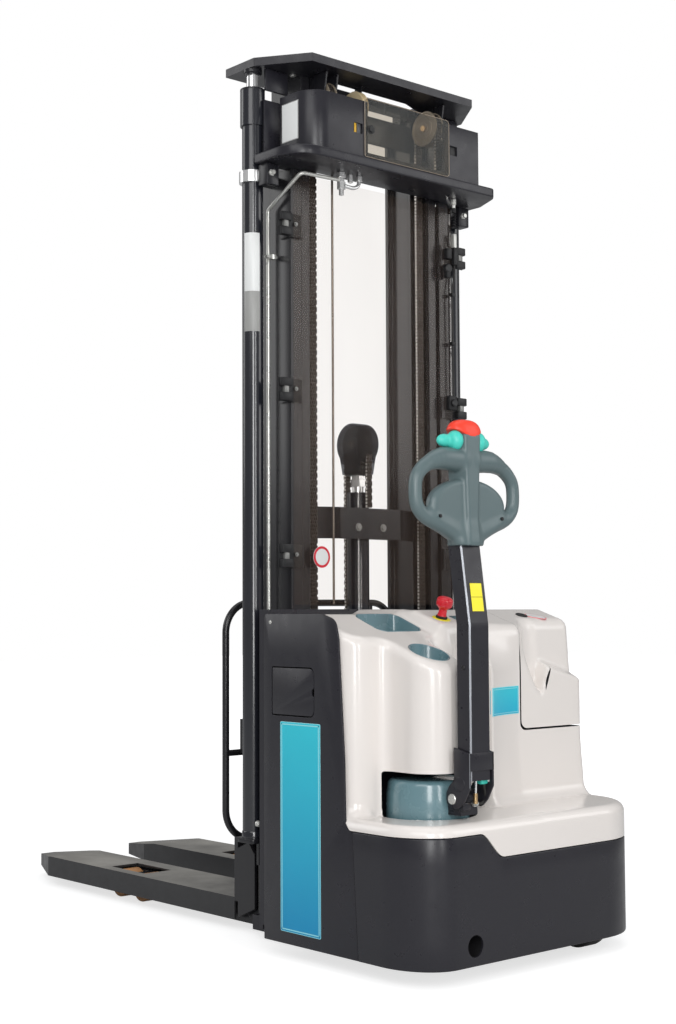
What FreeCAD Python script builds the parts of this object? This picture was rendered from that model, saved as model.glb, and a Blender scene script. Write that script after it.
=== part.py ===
import FreeCAD, Part
import os
import Sketcher
from FreeCAD import Placement, Rotation, Vector

# Electric pedestrian stacker: forks over support legs, three-stage mast with free lift, side tiller.
# Millimetres. +Z up, forks point along +Y, origin on the floor under the middle of the truck.

doc = FreeCAD.newDocument("electric_stacker")
dims = doc.addObject("Spreadsheet::Sheet", "dims")

SIZES = [
    # whole truck
    ("rear_y", -1000), ("heel_y", -150), ("body_half", 407), ("body_bottom", 40), ("panel_wall", 6),
    ("moving_gap", 5), ("seat_gap", 0.3),
    # forks and support legs
    ("fork_length", 1150), ("fork_width", 180), ("fork_centre", 195), ("fork_top", 90), ("fork_side", 60),
    ("fork_plate", 5), ("fork_wall", 6), ("tip_cut_x", 92), ("tip_cut_y", 198), ("tip_inner_x", 40),
    ("tip_inner_y", 150), ("tip_drop", 24), ("tip_slope", 210),
    ("leg_width", 130), ("leg_bottom", 22), ("leg_top", 74), ("leg_front", 545), ("beam_rear_y", -430),
    ("beam_front_y", -248), ("frame_half", 390), ("wall_y", -660),
    ("roller_radius", 40), ("roller_width", 70), ("roller_front_y", 487), ("roller_rear_y", 374),
    ("roller_pin", 10), ("roller_bore", 10.3), ("roller_slot", 95),
    # mast rails
    ("mast_foot", 60), ("rail_rear_y", -400), ("rail_front_y", -260), ("outer_half", 290),
    ("outer_width", 36), ("outer_web", 10), ("outer_flange", 12), ("outer_top", 2005),
    ("middle_half", 248), ("middle_width", 28), ("middle_web", 9), ("middle_flange", 11),
    ("middle_rear_y", -392), ("middle_front_y", -268), ("middle_bottom", 72), ("middle_top", 2265),
    ("inner_half", 214), ("inner_width", 26), ("inner_web", 9), ("inner_flange", 11),
    ("inner_rear_y", -352), ("inner_front_y", -248), ("inner_bottom", 80), ("inner_top", 2235),
    ("roll_gap", 0.5), ("guide_z", 140), ("guide_width", 12), ("stub_radius", 14),
    ("tie_plate", 8), ("tie_height", 70), ("top_plate", 22), ("top_plate_half", 385),
    ("top_plate_rear", -495), ("top_plate_front", -245), ("top_chamfer_x", 90), ("top_chamfer_y", 130),
    # lift cylinders
    ("cylinder_x", 364), ("cylinder_y", -333), ("cylinder_radius", 27.5), ("cylinder_bore", 19),
    ("cylinder_bottom", 274), ("cylinder_top", 2212), ("gland_radius", 32.5), ("gland_height", 98),
    ("rod_radius", 16), ("rod_bottom", 320), ("clamp_drop", 39), ("clamp_height", 24),
    ("bracket_plate", 12),
    # crosshead
    ("cross_plate", 25), ("cross_half", 388), ("cross_rear", -542), ("cross_box_top", 2182),
    ("cross_wall", 8), ("cross_wall_y", -530), ("cross_side_y", -405), ("window_half", 150),
    ("cross_cover_top", 2215),
    ("pulley_x", 197), ("pulley_y", -416), ("pulley_z", 2200), ("pulley_radius", 49),
         ("chain_pitch_radius", 40),
    ("pulley_width", 24), ("chain_width", 18), ("chain_depth", 15), ("chain_bottom", 250),
    # free lift
    ("free_radius", 30), ("free_bore", 18.5), ("free_top", 1170), ("free_rod", 15), ("free_rod_bottom", 200),
    ("head_bottom", 1247), ("head_width", 56), ("head_depth", 116), ("wheel_radius", 44),
    ("bow_bottom", 1041), ("bow_top", 1125),
    ("bow_rear_y", -385),
    # carriage
    ("carriage_half", 182), ("carriage_plate", 14), ("carriage_bottom", 116), ("carriage_top", 560),
    ("front_plate", 15), ("lug_top", 512), ("backrest_half", 306), ("backrest_tube", 9.5),
         ("backrest_top", 871),
    ("backrest_low", 240), ("backrest_corner", 80), ("backrest_bar_z", 470),
    # drive, castor, steering
    ("drive_x", -200), ("drive_y", -800), ("drive_radius", 115), ("drive_width", 75), ("drive_plate_z", 250),
    ("swivel_radius", 90),
    ("dome_radius", 100), ("dome_bottom", 352), ("dome_top", 455), ("pivot_y", -924), ("pivot_z", 411),
    ("castor_x", 250), ("castor_y", -850), ("castor_radius", 75), ("castor_width", 55), ("castor_trail", 38),
    ("castor_plate_z", 186), ("running", 0.05), ("shaft_radius", 10),
    # tiller
    ("arm_width", 66), ("arm_depth", 44), ("arm_wall", 4), ("arm_rear_y", -978), ("bend_z", 815),
    ("arm_top", 1000), ("arm_lean", 26), ("sleeve_top", 522), ("sleeve_width", 76), ("sleeve_wall", 5),
    ("head_low_z", 985), ("grip_half", 188), ("grip_radius", 17), ("pin_radius", 8),
    # hood, deck, skirt
    ("deck_z", 362), ("hood_wall", 5), ("seam_left_z", 336), ("seam_right_z", 277), ("skirt_wall", 6),
    ("deck_hole", 118), ("hood_top", 840), ("raised_top", 850), ("face_y", -755),
    ("side_face_x", 400.7), ("raised_x", -100), ("raised_bend_y", -640),
    ("slope_y", -600), ("slope", 0.385), ("side_bend_y", -730), ("corner_x", 350), ("bulge_x", 3),
    ("stop_x", -44), ("stop_y", -720), ("stop_z", 825), ("stop_radius", 24), ("stop_knob_radius", 21),
    ("key_x", -12), ("key_width", 62), ("tray_bottom", 736), ("cup_bottom", 672), ("motor_radius", 80),
    ("bracket_half", 27), ("head_thick", 50), ("lid_x", 165), ("lid_bottom", 545), ("door_y", -765),
    ("boss_x", -225), ("boss_y", -840), ("boss_radius", 72), ("boss_bottom", 478), ("bulge_y", -821),
    ("pocket_left", -325), ("pocket_right", -8), ("pocket_top", 480), ("pocket_depth_y", -668),
    ("tray_x", -190), ("tray_y", -655), ("tray_half_x", 76), ("tray_half_y", 58),
    ("tray_wall", 3), ("cup_radius", 50), ("cup_wall", 3),
    ("tow_hole_x", -245), ("tow_hole_z", 86), ("tow_hole_radius", 25),
    # side panels and hatch
    ("panel_front", -430), ("door_gap", 4), ("door_axis_gap", 5), ("door_pin", 2), ("panel_rear", -735),
         ("panel_top", 842), ("hatch_front", -463),
    ("hatch_rear", -627), ("hatch_low", 590), ("hatch_high", 714),
    ("bulkhead_y", -417), ("bulkhead_plate", 12), ("bulkhead_half", 400.7), ("bulkhead_top", 836),
         ("hinge_y", -430), ("hinge_z", 832), ("hinge_pin", 5),
    ("hinge_left_x", 195), ("hinge_right_x", 355),
    ("shield_y", -413), ("shield_plate", 4), ("shield_half", 290), ("shield_low", 864), ("shield_drop", 15),
    ("bracket_low", 960), ("bracket_mid", 1389), ("bracket_drop", 183), ("pipe_y", -450), ("battery_x", 40),
    ("battery_length", 300), ("battery_width", 190), ("battery_height", 380), ("floor_plate", 10),
    ("pipe_radius", 5),
]
for row, (alias, value) in enumerate(SIZES, start=1):
    dims.set(f"A{row}", alias)
    dims.set(f"B{row}", str(value))
    dims.setAlias(f"B{row}", alias)
doc.recompute()


def size(text):
    """The number that an expression over the sheet's aliases gives."""
    return float(dims.evalExpression(text))


def bound(text):
    """The same expression as another object of the document reads it."""
    words = sorted((alias for alias, value in SIZES), key=len, reverse=True)
    out, word = "", ""
    for mark in text + " ":
        if mark.isalnum() or mark in "_.":
            word += mark
            continue
        out += ("dims." + word if word in words else word) + mark
        word = ""
    return out.strip()


def expression(obj, prop, text):
    obj.setExpression(prop, bound(str(text)))


def place(obj, x, y, z):
    for axis, text in zip("xyz", (x, y, z)):
        expression(obj, f"Placement.Base.{axis}", text)


def box(name, x, y, z, length, width, height):
    """A block from its low corner."""
    obj = doc.addObject("Part::Box", name)
    expression(obj, "Length", length)
    expression(obj, "Width", width)
    expression(obj, "Height", height)
    place(obj, x, y, z)
    return obj


TURN = {"Z": Rotation(), "X": Rotation(Vector(0, 1, 0), 90), "Y": Rotation(Vector(1, 0, 0), -90)}


def rod(name, axis, x, y, z, radius, length):
    """A round bar that starts at a point and runs along +X, +Y or +Z."""
    obj = doc.addObject("Part::Cylinder", name)
    obj.Placement = Placement(Vector(), TURN[axis])
    expression(obj, "Radius", radius)
    expression(obj, "Height", length)
    place(obj, x, y, z)
    return obj


def fuse(name, pieces):
    obj = doc.addObject("Part::MultiFuse", name)
    obj.Shapes = pieces
    obj.Refine = True
    return obj


def cut(name, base, tools):
    tool = tools[0] if len(tools) == 1 else fuse(name + "_tools", tools)
    obj = doc.addObject("Part::Cut", name)
    obj.Base = base
    obj.Tool = tool
    obj.Refine = True
    return obj


def plane(body, role):
    return next(f for f in body.Origin.OriginFeatures if f.Role == role)


def sketch(body, name, role, offset, outlines):
    """Closed outlines on an origin plane, each corner held by two dimensions that read the sheet."""
    sk = body.newObject("Sketcher::SketchObject", name)
    sk.AttachmentSupport = [(plane(body, role), "")]
    sk.MapMode = "FlatFace"
    expression(sk, "AttachmentOffset.Base.z", offset)
    for outline in outlines:
        corners = [Vector(size(x), size(y), 0) for x, y in outline]
        first = sk.GeometryCount
        for i, corner in enumerate(corners):
            sk.addGeometry(Part.LineSegment(corner, corners[(i + 1) % len(corners)]), False)
        for i, (x, y) in enumerate(outline):
            sk.addConstraint(Sketcher.Constraint("Coincident", first + i - 1
                                                 if i else first + len(corners) - 1, 2,
                                                 first + i, 1))
            for kind, text, value in (("DistanceX", x, corners[i].x), ("DistanceY", y, corners[i].y)):
                if abs(value) < 1e-9:
                    axis = -2 if kind == "DistanceX" else -1
                    sk.addConstraint(Sketcher.Constraint("PointOnObject", first + i, 1, axis))
                    continue
                row = sk.addConstraint(Sketcher.Constraint(kind, -1, 1, first + i, 1, value))
                sk.setExpression(f"Constraints[{row}]", bound(text))
    return sk


def pad(name, role, offset, outlines, height):
    """A body with one pad from a sketch: XY grows along +Z, XZ along -Y, YZ along +X."""
    body = doc.addObject("PartDesign::Body", name)
    sk = sketch(body, name + "_outline", role, offset, outlines)
    feature = body.newObject("PartDesign::Pad", name + "_pad")
    feature.Profile = sk
    expression(feature, "Length", height)
    body.Tip = feature
    doc.recompute()
    return body


def pocket(body, name, role, offset, outlines, depth, reverse=False):
    before = body.Shape.Volume
    sk = sketch(body, name + "_outline", role, offset, outlines)
    feature = body.newObject("PartDesign::Pocket", name)
    feature.Profile = sk
    feature.Reversed = reverse
    expression(feature, "Length", depth)
    body.Tip = feature
    doc.recompute()
    if body.Shape.Volume > before - 1:
        raise RuntimeError(f"pocket {name} cuts nothing")
    return body


def round_edges(body, name, radius, chosen):
    """Fillet the edges of a body's tip that chosen picks."""
    tip = body.Tip
    names = [f"Edge{i}" for i, edge in enumerate(tip.Shape.Edges, start=1) if chosen(edge)]
    feature = body.newObject("PartDesign::Fillet", name)
    feature.Base = (tip, names)
    expression(feature, "Radius", radius)
    body.Tip = feature
    doc.recompute()
    return body


def shell(body, name, wall, opened):
    """Hollow a body to a wall, open at the faces that opened picks."""
    tip = body.Tip
    names = [f"Face{i}" for i, face in enumerate(tip.Shape.Faces, start=1) if opened(face)]
    feature = body.newObject("PartDesign::Thickness", name)
    feature.Base = (tip, names)
    feature.Reversed = True
    feature.Join = 1
    expression(feature, "Value", wall)
    body.Tip = feature
    doc.recompute()
    return body


def faces_way(face, x, y, z):
    if not isinstance(face.Surface, Part.Plane):
        return False
    low, high = face.ParameterRange[0], face.ParameterRange[2]
    return face.normalAt(low, high).dot(Vector(x, y, z)) > 0.99


def sweep(name, points, radius, bend):
    """A round tube along straight runs with a tangent arc at each inner point."""
    edges = []
    start = points[0]
    for corner, after in zip(points[1:-1], points[2:]):
        back, forward = (start - corner).normalize(), (after - corner).normalize()
        reach = bend * back.cross(forward).Length / (1 - back.dot(forward))
        first, last = corner + back * reach, corner + forward * reach
        middle = (back + forward).normalize()
        centre_gap = (bend ** 2 + reach ** 2) ** 0.5
        edges.append(Part.LineSegment(start, first).toShape())
        edges.append(Part.Arc(first, corner + middle * (centre_gap - bend), last).toShape())
        start = last
    edges.append(Part.LineSegment(start, points[-1]).toShape())
    path = Part.Wire(edges)
    ring = Part.Wire(Part.makeCircle(radius, points[0], points[1] - points[0]))
    solid = path.makePipeShell([ring], True, False)
    obj = doc.addObject("Part::Feature", name)
    obj.Shape = solid
    return obj


def mirrored(name, source):
    """The same piece on the other side of the truck."""
    obj = doc.addObject("Part::Mirroring", name)
    obj.Source = source
    obj.Normal = Vector(1, 0, 0)
    return obj


nodes = {}


def node(name, obj):
    obj.Label = name
    nodes[name] = obj
    return obj


# ---- outline shared by the skirt and the deck: the truck's round rear, seen from above

REAR_CORNER = [("body_half", "rear_y + 221"), ("body_half + 3", "rear_y + 140"),
               ("body_half - 9", "rear_y + 85"),
               ("body_half - 34", "rear_y + 50"), ("body_half - 72", "rear_y + 15"),
               ("body_half - 107", "rear_y")]


def rear_outline(front_y):
    right = [(x, y) for x, y in REAR_CORNER]
    left = [(f"-({x})", y) for x, y in reversed(REAR_CORNER)]
    return [("body_half - 1", front_y)] + right + left + [("-(body_half - 1)", front_y)]


# ---- forks, carriage and backrest

def fork(name):
    """Steel channel, open below, with a window over the load rollers and a sloped, tapered tip."""
    half, out, front = "fork_width / 2", "fork_centre", "heel_y + fork_length"
    plan = [(f"{out} - {half}", "heel_y"), (f"{out} + {half}", "heel_y"),
            (f"{out} + {half}", f"{front} - tip_cut_y"), (f"{out} + {half} - tip_cut_x", front),
            (f"{out} - {half} + tip_inner_x", front), (f"{out} - {half}", f"{front} - tip_inner_y")]
    body = pad(name, "XY_Plane", "fork_top - fork_side", [plan], "fork_side")
    wall, low = "fork_wall", "fork_top - fork_side"
    inner = [(f"{out} - {half} + {wall}", "heel_y - 1"), (f"{out} + {half} - {wall}", "heel_y - 1"),
             (f"{out} + {half} - {wall}", f"{front} - tip_slope"),
             (f"{out} - {half} + {wall}", f"{front} - tip_slope")]
    tip = [(f"{out} - {half} + {wall}", f"{front} - tip_slope - 1"),
           (f"{out} + {half} - {wall}", f"{front} - tip_slope - 1"),
           (f"{out} + {half} - {wall}", f"{front} - tip_cut_y - 3"),
           (f"{out} + {half} - tip_cut_x - 3", f"{front} - {wall}"),
           (f"{out} - {half} + tip_inner_x + 3", f"{front} - {wall}"),
           (f"{out} - {half} + {wall}", f"{front} - tip_inner_y - 2")]
    pocket(body, name + "_hollow", "XY_Plane", low, [inner], "fork_side - fork_plate", True)
    pocket(body, name + "_tip_hollow", "XY_Plane", low, [tip], "fork_side - fork_plate - tip_drop - 1", True)
    window = [(f"{out} - 38", "roller_rear_y - 52"), (f"{out} + 55", "roller_rear_y - 52"),
              (f"{out} + 55", "roller_rear_y + 123"), (f"{out} - 38", "roller_rear_y + 123")]
    pocket(body, name + "_window", "XY_Plane", "fork_top", [window], "fork_plate * 2")
    slope = [(f"{front} - tip_slope", "fork_top"), (f"{front} + 1", "fork_top - tip_drop"),
             (f"{front} + 1", "fork_top + 1"), (f"{front} - tip_slope", "fork_top + 1")]
    pocket(body, name + "_slope", "YZ_Plane", f"{out} - {half} - 1", [slope], "fork_width + 2", True)
    return body


fork_right = node("fork_right", fork("fork_r"))
fork_left = node("fork_left", mirrored("fork_l", fork_right))


def carriage_side(name):
    """Plate that runs inside the inner rail on two guide rollers, with the gusset above the fork's heel."""
    face = "carriage_half - carriage_plate"
    outline = [("inner_rear_y + 14", "carriage_bottom"), ("heel_y - front_plate", "carriage_bottom"),
               ("heel_y - front_plate", "carriage_top"), ("inner_rear_y + 14", "carriage_top")]
    plate = pad(name + "_plate", "YZ_Plane", face, [outline], "carriage_plate")
    pieces = [plate]
    mid_y = "(inner_rear_y + inner_front_y) / 2"
    for i, z in enumerate(("carriage_bottom + 50", "carriage_top - 60")):
        pieces.append(rod(f"{name}_stub{i}", "X", "carriage_half", mid_y, z, "stub_radius", "8"))
        wheel = "(inner_front_y - inner_rear_y) / 2 - inner_flange - roll_gap"
        pieces.append(rod(f"{name}_roller{i}", "X", "carriage_half + 8", mid_y, z, wheel, "guide_width"))
    return fuse(name, pieces)


def carriage_frame():
    """Two side plates, front plates that the forks hang on, and the chain lug behind them."""
    front_y = "heel_y - front_plate"
    side = carriage_side("carriage_side_r")
    low = box("carriage_low_plate", "-(fork_centre + fork_width / 2)", front_y, "leg_top + moving_gap + 1",
              "2 * fork_centre + fork_width", "front_plate - seat_gap", "170")
    high = box("carriage_high_plate", "-backrest_half + 40", front_y, "carriage_top - 90",
               "2 * (backrest_half - 40)", "front_plate - seat_gap", "90")
    lug_y = "cylinder_y + wheel_radius - 7"
    lug = box("carriage_lug", "-24", lug_y, "lug_top - 24", "48", f"{front_y} - ({lug_y})", "24")
    gusset_r = pad("gusset_r", "YZ_Plane", "fork_centre + fork_width / 2 - 10",
                   [[(front_y, "fork_top - 52"), (front_y, "fork_top + 130"),
                     (f"{front_y} - 45", "fork_top + 150"),
                     (f"{front_y} - 72", "fork_top + 120"), (f"{front_y} - 72", "fork_top - 20")]], "10")
    frame = [side, mirrored("carriage_side_l", side), low, high, lug, gusset_r,
             mirrored("gusset_l", gusset_r)]
    return fuse("carriage_weldment", frame)


node("carriage_frame", carriage_frame())


def backrest():
    """Tube frame over the forks with one middle bar, as wide as the forks and a little more."""
    half, top, low, y = size("backrest_half"), size("backrest_top"), size("backrest_low"), size("heel_y + 10")
    loop = [Vector(-half + 120, y, low), Vector(-half, y, low), Vector(-half, y, top), Vector(half, y, top),
            Vector(half, y, low), Vector(half - 120, y, low)]
    tube = sweep("backrest_loop", loop, size("backrest_tube"), size("backrest_corner"))
    bar = rod("backrest_bar", "X", "-backrest_half", "heel_y + 10", "backrest_bar_z", "backrest_tube - 1",
              "2 * backrest_half")
    feet = [tube, bar]
    for side, x in (("l", "-backrest_half + 70"), ("r", "backrest_half - 110")):
        feet.append(box(f"backrest_foot_{side}", x, "heel_y", "carriage_top - 60", "40", "12", "50"))
        feet.append(rod(f"backrest_rail_{side}", "Z", f"{x} + 20", "heel_y + 10", "backrest_low",
                        "backrest_tube - 1",
                        "backrest_top - backrest_low"))
    return fuse("backrest_frame", feet)


node("load_backrest", backrest())


# ---- base frame, support legs and load rollers

def leg(name):
    """Box leg inside the fork, slotted at its end for two rollers one behind the other."""
    low_x, high_x = "fork_centre - leg_width / 2", "fork_centre + leg_width / 2"
    plan = [(low_x, "beam_front_y"), (high_x, "beam_front_y"), (high_x, "leg_front - 30"),
            (f"{high_x} - 20", "leg_front"), (f"{low_x} + 20", "leg_front"), (low_x, "leg_front - 30")]
    body = pad(name + "_beam", "XY_Plane", "leg_bottom", [plan], "leg_top - leg_bottom")
    tools, pins = [], []
    for i, y in enumerate(("roller_rear_y", "roller_front_y")):
        tools.append(box(f"{name}_slot{i}", "fork_centre - roller_width / 2 - 2.5", f"{y} - roller_slot / 2",
                         "leg_bottom - 1", "roller_width + 5", "roller_slot", "leg_top - leg_bottom + 2"))
        pins.append(rod(f"{name}_pin{i}", "X", "fork_centre - leg_width / 2", y, "roller_radius",
                        "roller_pin",
                        "leg_width"))
    return fuse(name, [cut(name + "_cut", body, tools)] + pins)


leg_right = leg("leg_r")
node("support_legs", fuse("leg_pair", [leg_right, mirrored("leg_l", leg_right)]))


def load_roller(name, y):
    tread = rod(name + "_tread", "X", "fork_centre - roller_width / 2", y, "roller_radius", "roller_radius",
                "roller_width")
    bore = rod(name + "_bore", "X", "fork_centre - roller_width / 2 - 1", y, "roller_radius", "roller_bore",
               "roller_width + 2")
    return cut(name, tread, [bore])


for where in ("rear", "front"):
    roller = node(f"load_roller_{where}_right", load_roller(f"roller_{where}_r", f"roller_{where}_y"))
    node(f"load_roller_{where}_left", mirrored(f"roller_{where}_l", roller))


def base_frame():
    """Front beam under the mast, battery floor, cross wall and the raised plate over the wheels."""
    beam = box("front_beam", "-outer_half - 10", "beam_rear_y", "leg_bottom", "2 * outer_half + 20",
               "beam_front_y - beam_rear_y", "mast_foot - leg_bottom")
    floor = box("battery_floor", "-frame_half", "wall_y", "mast_foot", "2 * frame_half",
                "beam_rear_y - wall_y",
                "floor_plate")
    step = box("floor_step", "-outer_half - 10", "beam_rear_y - floor_plate", "leg_bottom",
               "2 * outer_half + 20",
               "floor_plate", "mast_foot - leg_bottom")
    wall = box("cross_wall", "-frame_half", "wall_y - floor_plate", "mast_foot", "2 * frame_half",
               "floor_plate",
               "drive_plate_z + bracket_plate - mast_foot")
    plate = box("wheel_plate", "-frame_half", "rear_y + 45", "drive_plate_z", "2 * frame_half",
                "wall_y - rear_y - 45", "bracket_plate")
    hole = rod("swivel_hole", "Z", "drive_x", "drive_y", "drive_plate_z - 1", "swivel_radius + 1",
               "bracket_plate + 2")
    corner_cuts = [pad(f"plate_corner_{side}", "XY_Plane", "drive_plate_z - 1",
                       [[(f"{sign}(frame_half + 1)", "rear_y + 145"),
                         (f"{sign}(frame_half + 1)", "rear_y + 44"),
                         (f"{sign}(frame_half - 120)", "rear_y + 44")]], "bracket_plate + 2")
                   for side, sign in (("l", "-"), ("r", ""))]
    block = box("castor_block", "castor_x - 60", "castor_y - 60", "castor_plate_z", "120", "120",
                "drive_plate_z - castor_plate_z")
    ribs = [box(f"side_rib_{side}", x, "wall_y", "mast_foot", "floor_plate", "beam_rear_y - wall_y", "120")
            for side, x in (("l", "-frame_half"), ("r", "frame_half - floor_plate"))]
    ears = [box(f"skirt_ear_{side}", x, "rear_y + 160", "drive_plate_z - 30",
                "body_half - panel_wall - seat_gap - frame_half", "40", "30 + bracket_plate")
            for side, x in (("l", "-(body_half - panel_wall - seat_gap)"), ("r", "frame_half"))]
    raised = fuse("raised_frame", [beam, floor, step, wall, plate, block] + ribs + ears)
    pivot = rod("castor_pivot", "Z", "castor_x", "castor_y", "castor_plate_z - 1", "15 + running", "42")
    return cut("base_weldment", raised, [hole, pivot] + corner_cuts)


node("base_frame", base_frame())
node("battery_pack", box("battery_block", "battery_x", "wall_y + 6", "mast_foot + floor_plate",
                         "battery_length",
                         "battery_width", "battery_height"))


# ---- mast

def channel(name, half, width, web, flange, rear, front, low, high):
    """Rolled channel that opens towards the middle of the truck."""
    tip = f"{half} - {width}"
    outline = [(half, rear), (half, front), (tip, front), (tip, f"{front} - {flange}"),
               (f"{half} - {web}", f"{front} - {flange}"), (f"{half} - {web}", f"{rear} + {flange}"),
               (tip, f"{rear} + {flange}"), (tip, rear)]
    return pad(name, "XY_Plane", low, [outline], f"{high} - {low}")


def guide(name, start, gap, web_face, rear, front, flange, z):
    """Guide roller on a stub outside a moving rail, running between the flanges of the rail around it."""
    mid = f"({rear} + {front}) / 2"
    stub = rod(name + "_stub", "X", start, mid, z, "stub_radius", gap)
    wheel = rod(name + "_wheel", "X", f"{start} + {gap}", mid, z,
                f"({front} - {rear}) / 2 - {flange} - roll_gap",
                f"{web_face} - 3 - ({start} + {gap})")
    return [stub, wheel]


def outer_side(name):
    rail = channel(name + "_rail", "outer_half", "outer_width", "outer_web", "outer_flange", "rail_rear_y",
                   "rail_front_y", "mast_foot", "outer_top")
    bracket = box(name + "_bracket", "outer_half", "cylinder_y - 34", "cylinder_bottom - bracket_plate",
                  "cylinder_x + 30 - outer_half", "68", "bracket_plate")
    rib = box(name + "_rib", "outer_half", "cylinder_y - 5", "cylinder_bottom - bracket_plate - 60", "60",
              "10", "60")
    clamp = box(name + "_clamp", "outer_half", "cylinder_y - 14", "outer_top - clamp_drop",
                "cylinder_x - outer_half",
                "28",
                "clamp_height")
    strap = rod(name + "_strap", "Z", "cylinder_x", "cylinder_y", "outer_top - clamp_drop",
                "cylinder_radius + 6",
                "clamp_height")
    hole = rod(name + "_grip", "Z", "cylinder_x", "cylinder_y", "outer_top - clamp_drop - 1",
               "cylinder_radius + seat_gap",
               "clamp_height + 2")
    ring = cut(name + "_ring", fuse(name + "_clamped", [clamp, strap]), [hole])
    corners = []
    for i, z in enumerate(("bracket_low", "bracket_mid", "outer_top - bracket_drop")):
        corners.append(box(f"{name}_corner{i}", "outer_half - outer_width",
                           "shield_y + shield_plate + seat_gap", z,
                           "outer_width", "rail_rear_y - shield_y - shield_plate - seat_gap", "60"))
        corners.append(box(f"{name}_side{i}", "outer_half", "shield_y + shield_plate + seat_gap", z, "6",
                           "46", "60"))
    return fuse(name, [rail, bracket, rib, ring] + corners)


outer_right = outer_side("outer_r")
node("outer_mast", fuse("outer_pair", [outer_right, mirrored("outer_l", outer_right)]))


def middle_mast():
    rail = channel("middle_rail", "middle_half", "middle_width", "middle_web", "middle_flange",
                   "middle_rear_y",
                   "middle_front_y", "middle_bottom", "middle_top")
    roller = guide("middle_guide", "middle_half", "9", "(outer_half - outer_web)", "rail_rear_y",
                   "rail_front_y",
                   "outer_flange", "guide_z")
    side = fuse("middle_r", [rail] + roller)
    tie = box("middle_tie", "-middle_half", "middle_rear_y - tie_plate", "middle_bottom", "2 * middle_half",
              "tie_plate", "tie_height")
    return fuse("middle_weldment", [side, mirrored("middle_l", side), tie])


def inner_mast():
    """Inner rails with their guide rollers and chain lugs, foot plate, bowed stay and top tie."""
    rail = channel("inner_rail", "inner_half", "inner_width", "inner_web", "inner_flange", "inner_rear_y",
                   "inner_front_y", "inner_bottom", "inner_top")
    roller = guide("inner_guide", "inner_half", "7", "(middle_half - middle_web)", "middle_rear_y",
                   "middle_front_y",
                   "middle_flange", "guide_z")
    lug_y = "pulley_y + chain_pitch_radius - 10"
    lug = box("chain_lug", "pulley_x - chain_width / 2", lug_y, "chain_bottom - 40", "chain_width",
              f"inner_rear_y - ({lug_y})", "40")
    side = fuse("inner_r", [rail, lug] + roller)
    tip = "inner_half - inner_width"
    foot = box("inner_foot", f"-({tip})", "inner_rear_y - 20", "inner_bottom + 2", f"2 * ({tip})", "110",
               "26")
    bow_outline = [(f"-({tip})", "inner_rear_y"), ("-110", "bow_rear_y"), ("110", "bow_rear_y"),
                   (tip, "inner_rear_y"),
                   (tip, "inner_rear_y + 11"), ("107", "bow_rear_y + 10"), ("-107", "bow_rear_y + 10"),
                   (f"-({tip})", "inner_rear_y + 11")]
    bow = pad("inner_bow", "XY_Plane", "bow_bottom", [bow_outline], "bow_top - bow_bottom")
    top = box("inner_top_tie", f"-({tip})", "inner_rear_y", "inner_top - 90", f"2 * ({tip})", "tie_plate",
              "75")
    return fuse("inner_weldment", [side, mirrored("inner_l", side), foot, bow, top])


node("middle_mast", middle_mast())
node("inner_mast", inner_mast())


def mast_top_plate():
    """Plate across the middle stage, cut out in front so that the inner stage rises through it."""
    half, rear, front = "top_plate_half", "top_plate_rear", "top_plate_front"
    gap = "middle_half - middle_width + 2"
    outline = [(half, front), (half, f"{rear} + top_chamfer_y"), (f"{half} - top_chamfer_x", rear),
               (f"-({half} - top_chamfer_x)", rear), (f"-{half}", f"{rear} + top_chamfer_y"),
               (f"-{half}", front),
               (f"-({gap})", front), (f"-({gap})", "inner_rear_y - 8"), ("-130", "bow_rear_y - 11"),
               ("130", "bow_rear_y - 11"), (gap, "inner_rear_y - 8"), (gap, front)]
    return pad("top_plate_body", "XY_Plane", "middle_top", [outline], "top_plate")


node("mast_top_plate", mast_top_plate())


def pulley(name):
    """Flanged chain pulley on a pin between two cheeks that hang from the mast's top plate."""
    hub = rod(name + "_hub", "X", "pulley_x - pulley_width / 2", "pulley_y", "pulley_z",
              "chain_pitch_radius - chain_depth / 2 - seat_gap", "pulley_width")
    rims = [rod(f"{name}_rim{i}", "X", x, "pulley_y", "pulley_z", "pulley_radius", "2")
            for i, x in enumerate(("pulley_x - chain_width / 2 - 2 - seat_gap",
                                   "pulley_x + chain_width / 2 + seat_gap"))]
    pin = rod(name + "_pin", "X", "pulley_x - 20", "pulley_y", "pulley_z", "10", "40")
    cheeks = [box(f"{name}_cheek{i}", x, "pulley_y - 24", "pulley_z - 20", "7", "48",
                  "middle_top - pulley_z + 20")
              for i, x in enumerate(("pulley_x - 20", "pulley_x + 13"))]
    return fuse(name, [hub, pin] + rims + cheeks)


pulley_right = pulley("pulley_r")
node("chain_pulleys", fuse("pulley_pair", [pulley_right, mirrored("pulley_l", pulley_right)]))


def strand(name, x, y, low, high):
    """One run of leaf chain, plain here."""
    return box(name, f"{x} - chain_width / 2", f"{y} - chain_depth / 2", low, "chain_width", "chain_depth",
               f"{high} - ({low})")


upper = strand("upper_chain_r", "pulley_x", "pulley_y - chain_pitch_radius", "outer_top + cross_plate",
               "pulley_z")
lower = strand("lower_chain_r", "pulley_x", "pulley_y + chain_pitch_radius", "chain_bottom", "pulley_z")
node("upper_chains", fuse("upper_pair", [upper, mirrored("upper_chain_l", upper)]))
node("lower_chains", fuse("lower_pair", [lower, mirrored("lower_chain_l", lower)]))


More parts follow.
